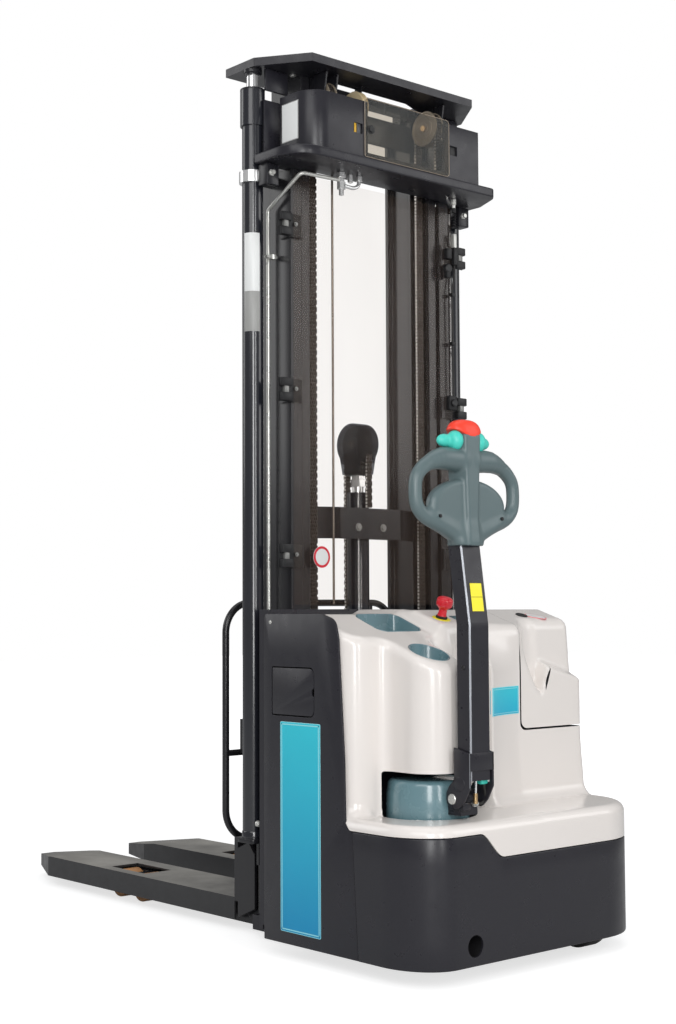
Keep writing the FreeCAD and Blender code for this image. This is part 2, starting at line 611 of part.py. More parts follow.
def lift_cylinder():
    tube = rod("cylinder_tube", "Z", "cylinder_x", "cylinder_y", "cylinder_bottom", "cylinder_radius",
               "cylinder_top - cylinder_bottom")
    gland = rod("cylinder_gland", "Z", "cylinder_x", "cylinder_y", "cylinder_top - gland_height",
                "gland_radius",
                "gland_height")
    bore = rod("cylinder_bore_r", "Z", "cylinder_x", "cylinder_y", "cylinder_bottom + 20", "cylinder_bore",
               "cylinder_top - cylinder_bottom")
    return cut("cylinder_r", fuse("cylinder_body", [tube, gland]), [bore])


cylinder_right = lift_cylinder()
node("lift_cylinders", fuse("cylinder_pair", [cylinder_right, mirrored("cylinder_l", cylinder_right)]))
rod_right = rod("lift_rod_r", "Z", "cylinder_x", "cylinder_y", "rod_bottom", "rod_radius",
                "middle_top - rod_bottom")
node("lift_rods", fuse("rod_pair", [rod_right, mirrored("lift_rod_l", rod_right)]))


def crosshead():
    """Plate across the top of the outer rails with a walled box for the chain anchors on it."""
    wing, notch = "cross_half", "cylinder_y - gland_radius - moving_gap - 1"
    gap, front = "outer_half - outer_width", "rail_rear_y - moving_gap"
    right = [(gap, front), (gap, notch), (wing, notch), (wing, "cross_rear + 106"),
             (f"{wing} - 38", "cross_rear + 20"),
             (f"{wing} - 58", "cross_rear")]
    left = [(f"-({x})", y) for x, y in reversed(right)]
    plate = pad("cross_plate_body", "XY_Plane", "outer_top", [right + left], "cross_plate")
    wall, rear = "cross_wall", "cross_wall_y"
    outer = [("282", rear), ("-270", rear), ("-300", f"{rear} + 8"), ("-320", f"{rear} + 25"),
             ("-330", f"{rear} + 52"),
             ("-330", "cross_side_y"), (f"-330 + {wall}", "cross_side_y"), (f"-330 + {wall}", f"{rear} + 54"),
             (f"-320 + {wall} - 1", f"{rear} + 31"), (f"-300 + {wall} - 5", f"{rear} + 8 + {wall} - 1"),
             ("-269", f"{rear} + {wall}"), ("282", f"{rear} + {wall}")]
    box_wall = pad("cross_box", "XY_Plane", "outer_top + cross_plate", [outer],
                   "cross_box_top - outer_top - cross_plate")
    window = box("cross_window", "-window_half", f"{rear} - 1", "outer_top + cross_plate + 10",
                 "2 * window_half",
                 f"{wall} + 2", "cross_box_top - outer_top")
    slots = [box(f"cross_slot_{side}", x, f"{rear} - 1", "outer_top + cross_plate + 68", "8", f"{wall} + 2",
                 "28")
             for side, x in (("l", "-window_half - 31"), ("r", "window_half + 23"))]
    end = box("cross_end", "274", f"{rear} + {wall}", "outer_top + cross_plate", "8", "70",
              "cross_box_top - outer_top - cross_plate - 30")
    return fuse("crosshead_weldment", [plate, cut("cross_box_cut", box_wall, [window] + slots), end])


node("crosshead", crosshead())

cover = box("crosshead_window", "-window_half + 2", "cross_wall_y + cross_wall + seat_gap",
            "outer_top + cross_plate",
            "2 * window_half + 8", "3", "cross_cover_top - outer_top - cross_plate")
shield = box("shield_sheet", "-shield_half", "shield_y", "shield_low", "2 * shield_half", "shield_plate",
             "outer_top - shield_drop - shield_low")
node("clear_guards", fuse("guard_pair", [cover, shield]))


def hydraulic_pipe():
    """Pressure pipe from the tee under the crosshead round the rail and down to the left cylinder."""
    y, side, mid = size("pipe_y"), size("-outer_half - 16"), size("cylinder_y + 8")
    foot = size("cylinder_bottom + 46")
    points = [Vector(-160, y, size("outer_top")), Vector(-160, y, size("outer_top - 20")),
              Vector(-297, y, size("outer_top - 23")), Vector(side, mid, size("outer_top - 100")),
              Vector(side, mid, foot), Vector(size("-cylinder_x + cylinder_radius + seat_gap"), mid - 8,
                                              foot)]
    return sweep("pipe_run", points, size("pipe_radius"), 14)


node("hydraulic_pipe", hydraulic_pipe())


# ---- free lift cylinder, its head and chain

def free_cylinder():
    tube = rod("free_tube", "Z", "0", "cylinder_y", "inner_bottom + 28", "free_radius",
               "free_top - inner_bottom - 28")
    bore = rod("free_bore_r", "Z", "0", "cylinder_y", "inner_bottom + 48", "free_bore", "free_top")
    return cut("free_cylinder_body", tube, [bore])


node("freelift_cylinder", free_cylinder())


def free_head():
    """Crossbar on the free-lift rod that carries the chain wheel between two cheeks."""
    stem = rod("free_rod_body", "Z", "0", "cylinder_y", "free_rod_bottom", "free_rod",
               "head_bottom - free_rod_bottom")
    base_half = "(wheel_radius - chain_depth / 2 - moving_gap)"
    base = box("head_base", "-head_width / 2", f"cylinder_y - {base_half}", "head_bottom - 30", "head_width",
               f"2 * {base_half}", "30")
    wheel = rod("head_wheel", "X", "-head_width / 2", "cylinder_y", "head_bottom + 55",
                "wheel_radius - chain_depth / 2 - seat_gap", "head_width")
    cheeks = [rod(f"head_rim{i}", "X", x, "cylinder_y", "head_bottom + 55", "wheel_radius + 6", "3")
              for i, x in enumerate(("-chain_width / 2 - 3 - seat_gap", "chain_width / 2 + seat_gap"))]
    for side, x in (("l", "-head_width / 2"), ("r", "head_width / 2 - 8")):
        cheeks.append(box(f"head_cheek_{side}", x, "cylinder_y - 38", "head_bottom - 30", "8", "76", "85"))
        cheeks.append(rod(f"head_round_{side}", "X", x, "cylinder_y", "head_bottom + 55", "head_depth / 2",
                          "8"))
    pin = rod("head_pin", "X", "-head_width / 2", "cylinder_y", "head_bottom + 55", "12", "head_width")
    return fuse("free_head_body", [stem, base, wheel, pin] + cheeks)


node("freelift_head", free_head())
node("freelift_rear_chain", strand("free_chain_r", "0", "cylinder_y - wheel_radius", "bow_top",
                                   "head_bottom + 55"))
node("freelift_front_chain", strand("free_chain_f", "0", "cylinder_y + wheel_radius", "lug_top",
                                    "head_bottom + 55"))


# ---- bulkhead, side panels, skirt and deck

def bulkhead():
    """Steel wall behind the mast with side flanges, a cap over its left part and the lid's hinge pin."""
    rear = "bulkhead_y"
    flange_y = f"{rear} - 23"
    wall = box("bulkhead_wall", "-bulkhead_half", rear, "mast_foot", "2 * bulkhead_half", "bulkhead_plate",
               "bulkhead_top - mast_foot")
    pieces = [wall]
    low = "mast_foot + floor_plate + 1"
    for side, x, top in (("l", "-bulkhead_half", "hood_top - 14"),
                         ("r", "bulkhead_half - 4", "lid_bottom - moving_gap")):
        pieces.append(box(f"bulkhead_flange_{side}", x, flange_y, low, "4", "23", f"{top} - ({low})"))
    pieces.append(box("bulkhead_cap", "-bulkhead_half", flange_y, "hood_top - 14",
                      "bulkhead_half + raised_x - seat_gap",
                      "23 + bulkhead_plate", "27"))
    for i, x in enumerate(("hinge_left_x", "hinge_right_x")):
        pieces.append(box(f"hinge_arm{i}", x, "hinge_y", "hinge_z - 10", "12", f"{rear} - hinge_y", "10"))
        pieces.append(rod(f"hinge_lug{i}", "X", x, "hinge_y", "hinge_z", "8", "12"))
    pieces.append(rod("hinge_pin", "X", "hinge_left_x", "hinge_y", "hinge_z", "hinge_pin",
                      "hinge_right_x + 12 - hinge_left_x"))
    return fuse("bulkhead_weldment", pieces)


node("bulkhead", bulkhead())


def side_panel(name, offset):
    front, rear, top = "panel_front", "panel_rear", "panel_top"
    outline = [(front, "body_bottom + 1"), (front, f"{top} - 12"), (f"{front} - 13", top),
               (f"{front} - 74", f"{top} + 1"),
               (f"{front} - 108", f"{top} - 18"), (f"{front} - 229", f"{top} - 23"),
               (f"{front} - 260", f"{top} - 32"),
               (f"{front} - 283", f"{top} - 59"), (f"{rear} + 3", "499"), (rear, "deck_z - 9"),
               (f"{rear} - 19", "seam_left_z"), (f"{rear} - 25", "seam_left_z - 4"),
               ("rear_y + 221", "body_bottom")]
    return pad(name, "YZ_Plane", offset, [outline], "panel_wall")


node("side_panel_right", side_panel("panel_r", "body_half - panel_wall"))

panel_left = side_panel("panel_l", "-body_half")
hatch_hole = [("hatch_front", "hatch_low"), ("hatch_front", "hatch_high"), ("hatch_rear", "hatch_high"),
              ("hatch_rear", "hatch_low")]
pocket(panel_left, "hatch_hole", "YZ_Plane", "-body_half - 1", [hatch_hole], "panel_wall + 2", True)
door_x, door_y = "-(body_half - panel_wall / 2)", "hatch_front - door_axis_gap"
door_pins = [rod("door_pin_low", "Z", door_x, door_y, "hatch_low - 4", "door_pin", "16"),
             rod("door_pin_high", "Z", door_x, door_y, "hatch_high - 12", "door_pin", "16")]
node("side_panel_left", fuse("panel_left_pins", [panel_left] + door_pins))


def hatch_door():
    leaf = box("door_leaf", "-body_half", "hatch_rear + door_gap", "hatch_low + door_gap", "panel_wall",
               "hatch_front - hatch_rear - door_gap - door_axis_gap + door_pin + 0.8",
               "hatch_high - hatch_low - 2 * door_gap")
    holes = [rod(f"door_bore{i}", "Z", door_x, door_y, z, "door_pin + 0.15", "16")
             for i, z in enumerate(("hatch_low", "hatch_high - 16"))]
    notch = box("finger_notch", "-body_half - 1", "hatch_rear + door_gap - 1",
                "(hatch_low + hatch_high) / 2 - 11",
                "panel_wall + 2", "8", "22")
    return cut("door_cut", leaf, holes + [notch])


node("hatch_door", hatch_door())

seam = [("-214", "seam_left_z"), ("-170", "seam_right_z + 3"), ("-158", "seam_right_z")]


def rear_skirt():
    """Steel skirt round the wheels, with a towing hole."""
    body = pad("skirt_body", "XY_Plane", "body_bottom", [rear_outline("rear_y + 240")],
               "seam_left_z - body_bottom")
    shell(body, "skirt_wall_cut", "skirt_wall",
          lambda f: faces_way(f, 0, 0, 1) or faces_way(f, 0, 0, -1) or faces_way(f, 0, 1, 0))
    above = pad("skirt_seam", "XZ_Plane", "-rear_y - 300",
                [seam + [("body_half + 20", "seam_right_z"), ("body_half + 20", "seam_left_z + 1"),
                         ("-214", "seam_left_z + 1")]], "320")
    slant = pad("skirt_slant", "YZ_Plane", "-body_half - 20",
                [[("rear_y + 250", "seam_left_z + 2"), ("panel_rear - 25.3", "seam_left_z + 2"),
                  ("rear_y + 220.5", "body_bottom - 1"), ("rear_y + 250", "body_bottom - 1")]],
                "2 * body_half + 40")
    tow = rod("tow_hole", "Y", "tow_hole_x", "rear_y - 5", "tow_hole_z", "tow_hole_radius", "40")
    return cut("skirt_cut", body, [above, slant, tow])


node("rear_skirt", rear_skirt())


def rear_deck():
    """Moulded deck over the skirt with a round opening for the steering head."""
    body = pad("deck_body", "XY_Plane", "seam_right_z + seat_gap", [rear_outline("panel_rear - 29.5")],
               "deck_z - seam_right_z - seat_gap")
    top = size("deck_z")
    front = size("panel_rear - 29.5")
    round_edges(body, "deck_round", 14, lambda e: all(abs(v.Z - top) < 0.01 for v in e.Vertexes)
                and not all(abs(v.Y - front) < 0.01 for v in e.Vertexes))
    shell(body, "deck_wall_cut", "hood_wall", lambda f: faces_way(f, 0, 0, -1) or faces_way(f, 0, 1, 0))
    plate = box("deck_front_plate", "-side_face_x", "panel_rear - 30", "deck_z - hood_wall",
                "2 * side_face_x",
                "62", "hood_wall")
    below = pad("deck_seam", "XZ_Plane", "-rear_y - 300",
                [[(x, f"{z} + seat_gap") for x, z in seam] + [("-158", "seam_right_z - 1"),
                 ("-body_half - 20", "seam_right_z - 1"), ("-body_half - 20", "seam_left_z + seat_gap")]],
                "320")
    hole = rod("deck_opening", "Z", "drive_x", "drive_y", "deck_z - 60", "deck_hole", "80")
    return cut("deck_cut", fuse("deck_plates", [body, plate]), [below, hole])


node("rear_deck", rear_deck())


# ---- hood tower, its inserts and the battery lid

def slope_above(name, drop):
    """Everything over the falling top of the hood's left part, lowered by drop."""
    top = f"hood_top - ({drop})"
    outline = [("bulkhead_y + 30", top), ("slope_y", f"{top} - 2"),
               ("rear_y", f"{top} - 2 + (rear_y - slope_y) * slope"),
               ("rear_y", "hood_top + 30"), ("bulkhead_y + 30", "hood_top + 30")]
    return pad(name, "YZ_Plane", "-body_half - 20", [outline], "body_half + 400")


def left_mass(name, wall, floor):
    """Left part of the tower with the boss that carries the cup, inset by wall."""
    plan = [(f"-(side_face_x - {wall})", f"bulkhead_y - 24 + {floor}"),
            (f"-(side_face_x - {wall})", f"side_bend_y + {wall} / 2"),
            (f"-(corner_x - {wall} / 2)", f"face_y + {wall}"), (f"raised_x + 2 * {wall}", f"face_y + {wall}"),
            (f"raised_x + 2 * {wall}", f"bulkhead_y - 24 + {floor}")]
    low = f"deck_z - {floor}"
    block = pad(name + "_block", "XY_Plane", low, [plan], f"hood_top - ({low})")
    boss_low = f"boss_bottom + {wall}"
    arm = box(name + "_arm", f"boss_x - boss_radius + {wall}", "boss_y", boss_low,
              f"2 * boss_radius - 2 * {wall}",
              f"face_y + {wall} + 1 - boss_y", f"hood_top - ({boss_low})")
    boss = rod(name + "_boss", "Z", "boss_x", "boss_y", boss_low, f"boss_radius - {wall}",
               f"hood_top - ({boss_low})")
    return cut(name, fuse(name + "_solid", [block, arm, boss]),
               [slope_above(name + "_slope", f"{wall} * 1.1")])


def right_mass(name, wall, floor):
    """Raised right part, the bulge beside the tiller and the low part under the battery lid."""
    low, front = f"deck_z - {floor}", f"bulkhead_y - seat_gap + {floor}"
    profile = [(front, low), (front, f"raised_top - {wall}"), ("raised_bend_y", f"raised_top - {wall}"),
               ("face_y + 13", f"raised_top - 32 - {wall}"), (f"face_y + {wall}",
                                                              f"raised_top - 50 - {wall}"),
               (f"face_y + {wall}", low)]
    raised = pad(name + "_raised", "YZ_Plane", f"raised_x + {wall}", [profile],
                 f"lid_x - moving_gap - raised_x - 2 * {wall}")
    under = box(name + "_under", f"lid_x - moving_gap - 10 + {wall}", f"door_y + {wall}", low,
                f"side_face_x - lid_x + moving_gap + 10 - 2 * {wall}",
                f"bulkhead_y - 24 + {floor} - (door_y + {wall})",
                f"lid_bottom - moving_gap + {floor} - ({low})")
    bulge = [(f"bulge_x + {wall}", f"face_y + {wall} + 1"), (f"bulge_x + {wall}", f"bulge_y + {wall} * 1.6"),
             (f"lid_x - moving_gap - {wall} - 5", f"face_y - 2 + {wall}"),
             (f"lid_x - moving_gap - {wall} - 5", f"face_y + {wall} + 1")]
    swell = pad(name + "_swell", "XY_Plane", low, [bulge], f"raised_top - 60 - {wall} - ({low})")
    cap = pad(name + "_swell_top", "YZ_Plane", "bulge_x - 1",
              [[(f"face_y + {wall} + 2", f"raised_top - 60 - {wall}"),
                ("bulge_y - 5", f"raised_top - 130 - {wall}"),
                ("bulge_y - 5", "raised_top"), (f"face_y + {wall} + 2", "raised_top")]], "200")
    return fuse(name, [raised, under, cut(name + "_bulge", swell, [cap])])



def hood_tower():
    outer = fuse("hood_outer", [left_mass("hood_left", "0", "0"), right_mass("hood_right", "0", "0")])
    inner = fuse("hood_inner", [left_mass("hollow_left", "hood_wall", "30"),
                                right_mass("hollow_right", "hood_wall", "30")])
    lining = box("pocket_lining", "pocket_left - hood_wall", "face_y", "deck_z - 40",
                 "pocket_right - pocket_left + 2 * hood_wall", "pocket_depth_y - face_y + hood_wall",
                 "pocket_top - deck_z + 40 + hood_wall")
    void = cut("hood_void", inner, [lining])
    pocket_space = box("pocket_space", "pocket_left", "face_y - 10", "deck_z - 50",
                       "pocket_right - pocket_left",
                       "pocket_depth_y - face_y + 10", "pocket_top - deck_z + 50")
    tray_hole = box("tray_hole", "tray_x - tray_half_x - seat_gap", "tray_y - tray_half_y - seat_gap",
                    "hood_top - 120",
                    "2 * tray_half_x + 2 * seat_gap", "2 * tray_half_y + 2 * seat_gap", "150")
    cup_hole = rod("cup_hole", "Z", "boss_x", "boss_y + 5", "boss_bottom + 30", "cup_radius + seat_gap",
                   "400")
    stop_hole = rod("stop_hole", "Z", "stop_x", "stop_y", "raised_top - 60", "stop_radius + seat_gap", "100")
    key_hole = key_slab("key_hole", "seat_gap")
    hatch_space = box("hatch_space", "-side_face_x - 10", "hatch_rear - 10", "hatch_low - 10",
                      "hood_wall + 20",
                      "hatch_front - hatch_rear + 20", "hatch_high - hatch_low + 20")
    return cut("hood_shell", outer, [void, pocket_space, tray_hole, cup_hole, stop_hole, key_hole,
                                     hatch_space])


def key_slab(name, gap):
    """Sloping plate of the key panel, grown by gap."""
    outline = [(f"stop_y + 32 + {gap}", f"raised_top - 14"), (f"stop_y - 20 - {gap}", "raised_top - 30"),
               (f"stop_y - 20 - {gap}", f"raised_top - 40 - {gap}"),
               (f"stop_y + 32 + {gap}", f"raised_top - 24 - {gap}")]
    return pad(name, "YZ_Plane", f"key_x - {gap}", [outline], f"key_width + 2 * {gap}")


node("hood_tower", hood_tower())


def storage_tray():
    block = box("tray_block", "tray_x - tray_half_x", "tray_y - tray_half_y", "tray_bottom",
                "2 * tray_half_x",
                "2 * tray_half_y", "hood_top - tray_bottom")
    space = box("tray_space", "tray_x - tray_half_x + tray_wall", "tray_y - tray_half_y + tray_wall",
                "tray_bottom + tray_wall", "2 * (tray_half_x - tray_wall)", "2 * (tray_half_y - tray_wall)",
                "200")
    return cut("tray_cut", block, [space, slope_above("tray_slope", "0")])


def cup_holder():
    block = rod("cup_block", "Z", "boss_x", "boss_y + 5", "cup_bottom", "cup_radius", "hood_top - cup_bottom")
    space = rod("cup_space", "Z", "boss_x", "boss_y + 5", "cup_bottom + cup_wall", "cup_radius - cup_wall",
                "200")
    return cut("cup_cut", block, [space, slope_above("cup_slope", "0")])


def emergency_stop():
    """Yellow ring with a red mushroom knob on a stem."""
    ring = rod("stop_ring", "Z", "stop_x", "stop_y", "stop_z - 14", "stop_radius", "18")
    stem = rod("stop_stem", "Z", "stop_x", "stop_y", "stop_z", "10", "32")
    skirt = rod("stop_skirt", "Z", "stop_x", "stop_y", "stop_z + 28", "17", "8")
    knob = rod("stop_knob", "Z", "stop_x", "stop_y", "stop_z + 35", "stop_knob_radius", "20")
    return fuse("stop_body", [ring, stem, skirt, knob])


node("storage_tray", storage_tray())
node("cup_holder", cup_holder())
node("emergency_stop", emergency_stop())
key_lock = rod("key_lock", "Z", "key_x + key_width / 2", "stop_y + 6", "raised_top - 26", "9", "14")
node("key_panel", fuse("key_body", [key_slab("key_plate", "0"), key_lock]))


def battery_lid():
    """Lid over the battery: top, stepped rear panel and side flanges, hinged in front."""
    front, top, low = "hinge_y - 5", "raised_top", "lid_bottom"
    outline = [(front, low), (front, top), ("-650", top), ("-707", f"{top} - 42"), ("-720", f"{top} - 58"),
               ("-731", f"{top} - 164"), ("door_y + 4", f"{top} - 188"), ("door_y - 3", low)]
    body = pad("lid_body", "YZ_Plane", "lid_x", [outline], "side_face_x - moving_gap - lid_x")
    shell(body, "lid_hollow", "hood_wall", lambda f: faces_way(f, 0, 0, -1) or faces_way(f, 0, 1, 0))
    trim = pad("lid_trim", "YZ_Plane", "lid_x - 1", [[("hinge_y", "lid_bottom - 1"),
                                                      ("hinge_y", "raised_top - 40"),
                                                       ("face_y + 60", "raised_top - 75"),
                                                      ("face_y + 40", "lid_bottom - 1")]],
               "side_face_x")
    handle = box("lid_slot", "lid_x + 138", "door_y - 10", "lid_bottom + 92", "12", "60", "40")
    knuckles, bores = [], []
    for i, x in enumerate(("hinge_left_x + 12 + seat_gap", "hinge_right_x - 22 - seat_gap")):
        knuckles.append(rod(f"lid_knuckle{i}", "X", x, "hinge_y", "hinge_z", "8", "22"))
        knuckles.append(box(f"lid_web{i}", x, "hinge_y - 12", "hinge_z", "22", "9",
                            "raised_top - hood_wall - hinge_z + 1"))
        bores.append(rod(f"lid_bore{i}", "X", f"{x} - 1", "hinge_y", "hinge_z", "hinge_pin + seat_gap", "24"))
    return cut("lid_cut", fuse("lid_solid", [cut("lid_shell", body, [trim, handle])] + knuckles), bores)


node("battery_lid", battery_lid())


# ---- drive unit, steering head and tiller

def drive_unit():
    """Ring on the wheel plate, motor over it, gear leg beside the wheel and the tiller's bracket."""
    ring = rod("swivel_ring", "Z", "drive_x", "drive_y", "drive_plate_z + bracket_plate + 0.5",
               "swivel_radius + 15", "12")
    neck = rod("swivel_neck", "Z", "drive_x", "drive_y", "drive_plate_z - 14", "swivel_radius", "38")
    motor = rod("drive_motor", "Z", "drive_x", "drive_y", "drive_plate_z + 20", "motor_radius",
                "dome_bottom + 48 - drive_plate_z - 20")
    gear = box("gear_leg", "drive_x - drive_width / 2 - 21", "drive_y - 45", "drive_radius - 40", "15.5",
               "90",
               "drive_plate_z - 10 - drive_radius + 40")
    axle = rod("drive_axle", "X", "drive_x - drive_width / 2 - 21", "drive_y", "drive_radius", "shaft_radius",
               "drive_width / 2 + 51")
    bracket = box("tiller_bracket", "drive_x - bracket_half", "pivot_y - 16", "dome_bottom + 20",
                  "2 * bracket_half", "drive_y - pivot_y + 16", "28")
    boss = rod("tiller_boss", "X", "drive_x - bracket_half", "pivot_y", "pivot_z", "19", "2 * bracket_half")
    web = box("tiller_web", "drive_x - bracket_half", "pivot_y - 14", "dome_bottom + 20", "2 * bracket_half",
              "32", "40")
    bore = rod("tiller_bore", "X", "drive_x - 60", "pivot_y", "pivot_z", "pin_radius + seat_gap", "120")
    return cut("drive_cut", fuse("drive_solid", [ring, neck, motor, gear, axle, bracket, boss, web]), [bore])


def steering_dome():
    """Thin cover over the motor with a slot for the tiller's bracket."""
    shape = rod("dome_outer", "Z", "drive_x", "drive_y", "dome_bottom", "dome_radius",
                "dome_top - dome_bottom - 10")
    crown = doc.addObject("Part::Cone", "dome_crown")
    expression(crown, "Radius1", "dome_radius")
    expression(crown, "Radius2", "dome_radius - 12")
    expression(crown, "Height", "10")
    place(crown, "drive_x", "drive_y", "dome_top - 10")
    hollow = rod("dome_hollow", "Z", "drive_x", "drive_y", "dome_bottom - 1", "dome_radius - 4",
                 "dome_top - dome_bottom - 9")
    slot_cut = box("dome_slot", "drive_x - bracket_half - seat_gap", "drive_y - dome_radius - 5",
                   "dome_bottom - 1",
                   "2 * bracket_half + 2 * seat_gap", "40", "49 + seat_gap")
    return cut("dome_cut", fuse("dome_solid", [shape, crown]), [hollow, slot_cut])


def drive_wheel():
    tyre = rod("drive_tyre", "X", "drive_x - drive_width / 2", "drive_y", "drive_radius", "drive_radius",
               "drive_width")
    bore = rod("drive_bore", "X", "drive_x - drive_width", "drive_y", "drive_radius",
               "shaft_radius + running",
               "2 * drive_width")
    return cut("drive_wheel_cut", tyre, [bore])


node("drive_unit", drive_unit())
node("steering_dome", steering_dome())
node("drive_wheel", drive_wheel())


def tiller_arm():
    """Bent square tube on a sleeve whose two ears hold the pivot pin."""
    rear, front, low = "arm_rear_y", "arm_rear_y + arm_depth", "sleeve_top - 62"
    side = [(rear, low), (rear, "bend_z"), (f"{rear} + arm_lean", "arm_top"),
            (f"{front} + arm_lean", "arm_top"),
            (front, "bend_z"), (front, low)]
    tube = pad("arm_tube", "YZ_Plane", "drive_x - arm_width / 2", [side], "arm_width")
    wall = "arm_wall"
    inside = [(f"{rear} + {wall}", f"{low} - 1"), (f"{rear} + {wall}", "bend_z"),
              (f"{rear} + {wall} + arm_lean", f"arm_top - {wall}"),
              (f"{front} - {wall} + arm_lean", f"arm_top - {wall}"),
              (f"{front} - {wall}", "bend_z"), (f"{front} - {wall}", f"{low} - 1")]
    hollow = pad("arm_hollow", "YZ_Plane", f"drive_x - arm_width / 2 + {wall}", [inside],
                 f"arm_width - 2 * {wall}")
    ear = [(f"{rear} - 3", "sleeve_top"), (f"{front} + 2", "sleeve_top"), ("pivot_y + 19", "pivot_z + 29"),
           ("pivot_y + 19", "pivot_z - 8"), ("pivot_y + 8", "pivot_z - 22"), ("pivot_y - 16", "pivot_z - 22"),
           ("pivot_y - 38", "pivot_z + 14"), (f"{rear} - 3", "pivot_z + 45")]
    ears = [pad(f"arm_ear{i}", "YZ_Plane", x, [ear], "sleeve_wall")
            for i, x in enumerate(("drive_x - sleeve_width / 2", "drive_x + sleeve_width / 2 - sleeve_wall"))]
    back = box("sleeve_back", "drive_x - sleeve_width / 2", f"{rear} - 3", "sleeve_top - 66", "sleeve_width",
               "3", "66")
    pin = rod("pivot_pin", "X", "drive_x - sleeve_width / 2 - 3", "pivot_y", "pivot_z", "pin_radius",
              "sleeve_width + 6")
    return fuse("arm_solid", [cut("arm_cut", tube, [hollow]), back, pin] + ears)


node("tiller_arm", tiller_arm())


def tiller_head():
    """Grip head: waisted hub with a loop on each side, thumb switches and the belly button on top."""
    mid = "arm_rear_y + arm_lean + arm_depth / 2 - 4"
    right = [("33", "head_low_z"), ("44", "head_low_z + 55"), ("64", "head_low_z + 100"),
             ("66", "head_low_z + 150"),
             ("50", "head_low_z + 205"), ("38", "head_low_z + 262"), ("30", "head_low_z + 286")]
    hub = pad("head_hub", "XZ_Plane", f"-({mid}) - head_thick / 2",
              [[(f"drive_x + {x}", z) for x, z in right] + [(f"drive_x - {x}", z)
                                                            for x, z in reversed(right)]],
              "head_thick")
    sleeve_cut = box("head_socket", "drive_x - arm_width / 2 - seat_gap", "arm_rear_y - 20",
                     "head_low_z - 20",
                     "arm_width + 2 * seat_gap", "120", "arm_top + seat_gap - head_low_z + 20")
    hub_cut = cut("head_hub_cut", hub, [sleeve_cut])
    x0, y, z0 = size("drive_x"), size(mid), size("head_low_z")
    reach = size("grip_half - grip_radius")
    loops = []
    for side in (-1, 1):
        points = [Vector(x0 + side * 20, y, z0 + 247), Vector(x0 + side * 118, y, z0 + 250),
                  Vector(x0 + side * reach, y, z0 + 205), Vector(x0 + side * reach, y, z0 + 135),
                  Vector(x0 + side * 110, y, z0 + 72), Vector(x0 + side * 20, y, z0 + 66)]
        loops.append(sweep(f"grip_{'left' if side < 0 else 'right'}", points, size("grip_radius"), 62))
    button = box("belly_button", "drive_x - 27", f"{mid} - 20", "head_low_z + 280", "54", "40", "34")
    thumbs = box("thumb_switches", "drive_x - 50", f"{mid} - head_thick / 2 - 8", "head_low_z + 229", "100",
                 "16", "38")
    return fuse("head_solid", [hub_cut, button, thumbs] + loops)


node("tiller_head", tiller_head())


# ---- castor

def castor_fork():
    axle_y = "castor_y - castor_trail"
    half = "castor_width / 2 + moving_gap"
    top = rod("castor_top", "Z", "castor_x", "castor_y", "castor_plate_z - 12.5", "46", "12")
    stem = rod("castor_stem", "Z", "castor_x", "castor_y", "castor_plate_z - 6", "15", "46")
    plate = box("castor_bridge", f"castor_x - ({half}) - 6", f"{axle_y} - 12", "castor_plate_z - 24",
                f"2 * ({half}) + 12", "castor_trail + 42", "12")
    side = [(f"{axle_y} - 14", "castor_radius - 12"), (f"{axle_y} + 14", "castor_radius - 12"),
            ("castor_y + 30", "castor_plate_z - 24"), ("castor_y + 30", "castor_plate_z - 12"),
            (f"{axle_y} - 12", "castor_plate_z - 12")]
    legs = [pad(f"castor_leg{i}", "YZ_Plane", x, [side], "6")
            for i, x in enumerate((f"castor_x - ({half}) - 6", f"castor_x + {half}"))]
    axle = rod("castor_axle", "X", f"castor_x - ({half}) - 6", axle_y, "castor_radius", "8",
               f"2 * ({half}) + 12")
    return fuse("castor_fork_solid", [top, stem, plate, axle] + legs)


def castor_wheel():
    axle_y = "castor_y - castor_trail"
    tyre = rod("castor_tyre", "X", "castor_x - castor_width / 2", axle_y, "castor_radius", "castor_radius",
               "castor_width")
    bore = rod("castor_bore", "X", "castor_x - castor_width", axle_y, "castor_radius", "8 + running",
               "2 * castor_width")
    return cut("castor_wheel_cut", tyre, [bore])


node("castor_fork", castor_fork())
node("castor_wheel", castor_wheel())


# ---- check and write

doc.recompute()
for obj in doc.Objects:
    if any(word in ("Invalid", "Error", "Touched") for word in obj.State):
        raise RuntimeError(f"{obj.Name} did not build: {obj.State}")
for name, obj in nodes.items():
    shape = obj.Shape
    if not shape.isValid() or not shape.Solids:
        raise RuntimeError(f"{name} has no valid solid")
os.makedirs("parts", exist_ok=True)
for name, obj in nodes.items():
    obj.Shape.exportStep(os.path.join("parts", name + ".step"))
print(len(nodes), "pieces written")
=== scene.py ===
import math

import bmesh
import bpy
import numpy as np
from mathutils import Matrix, Vector


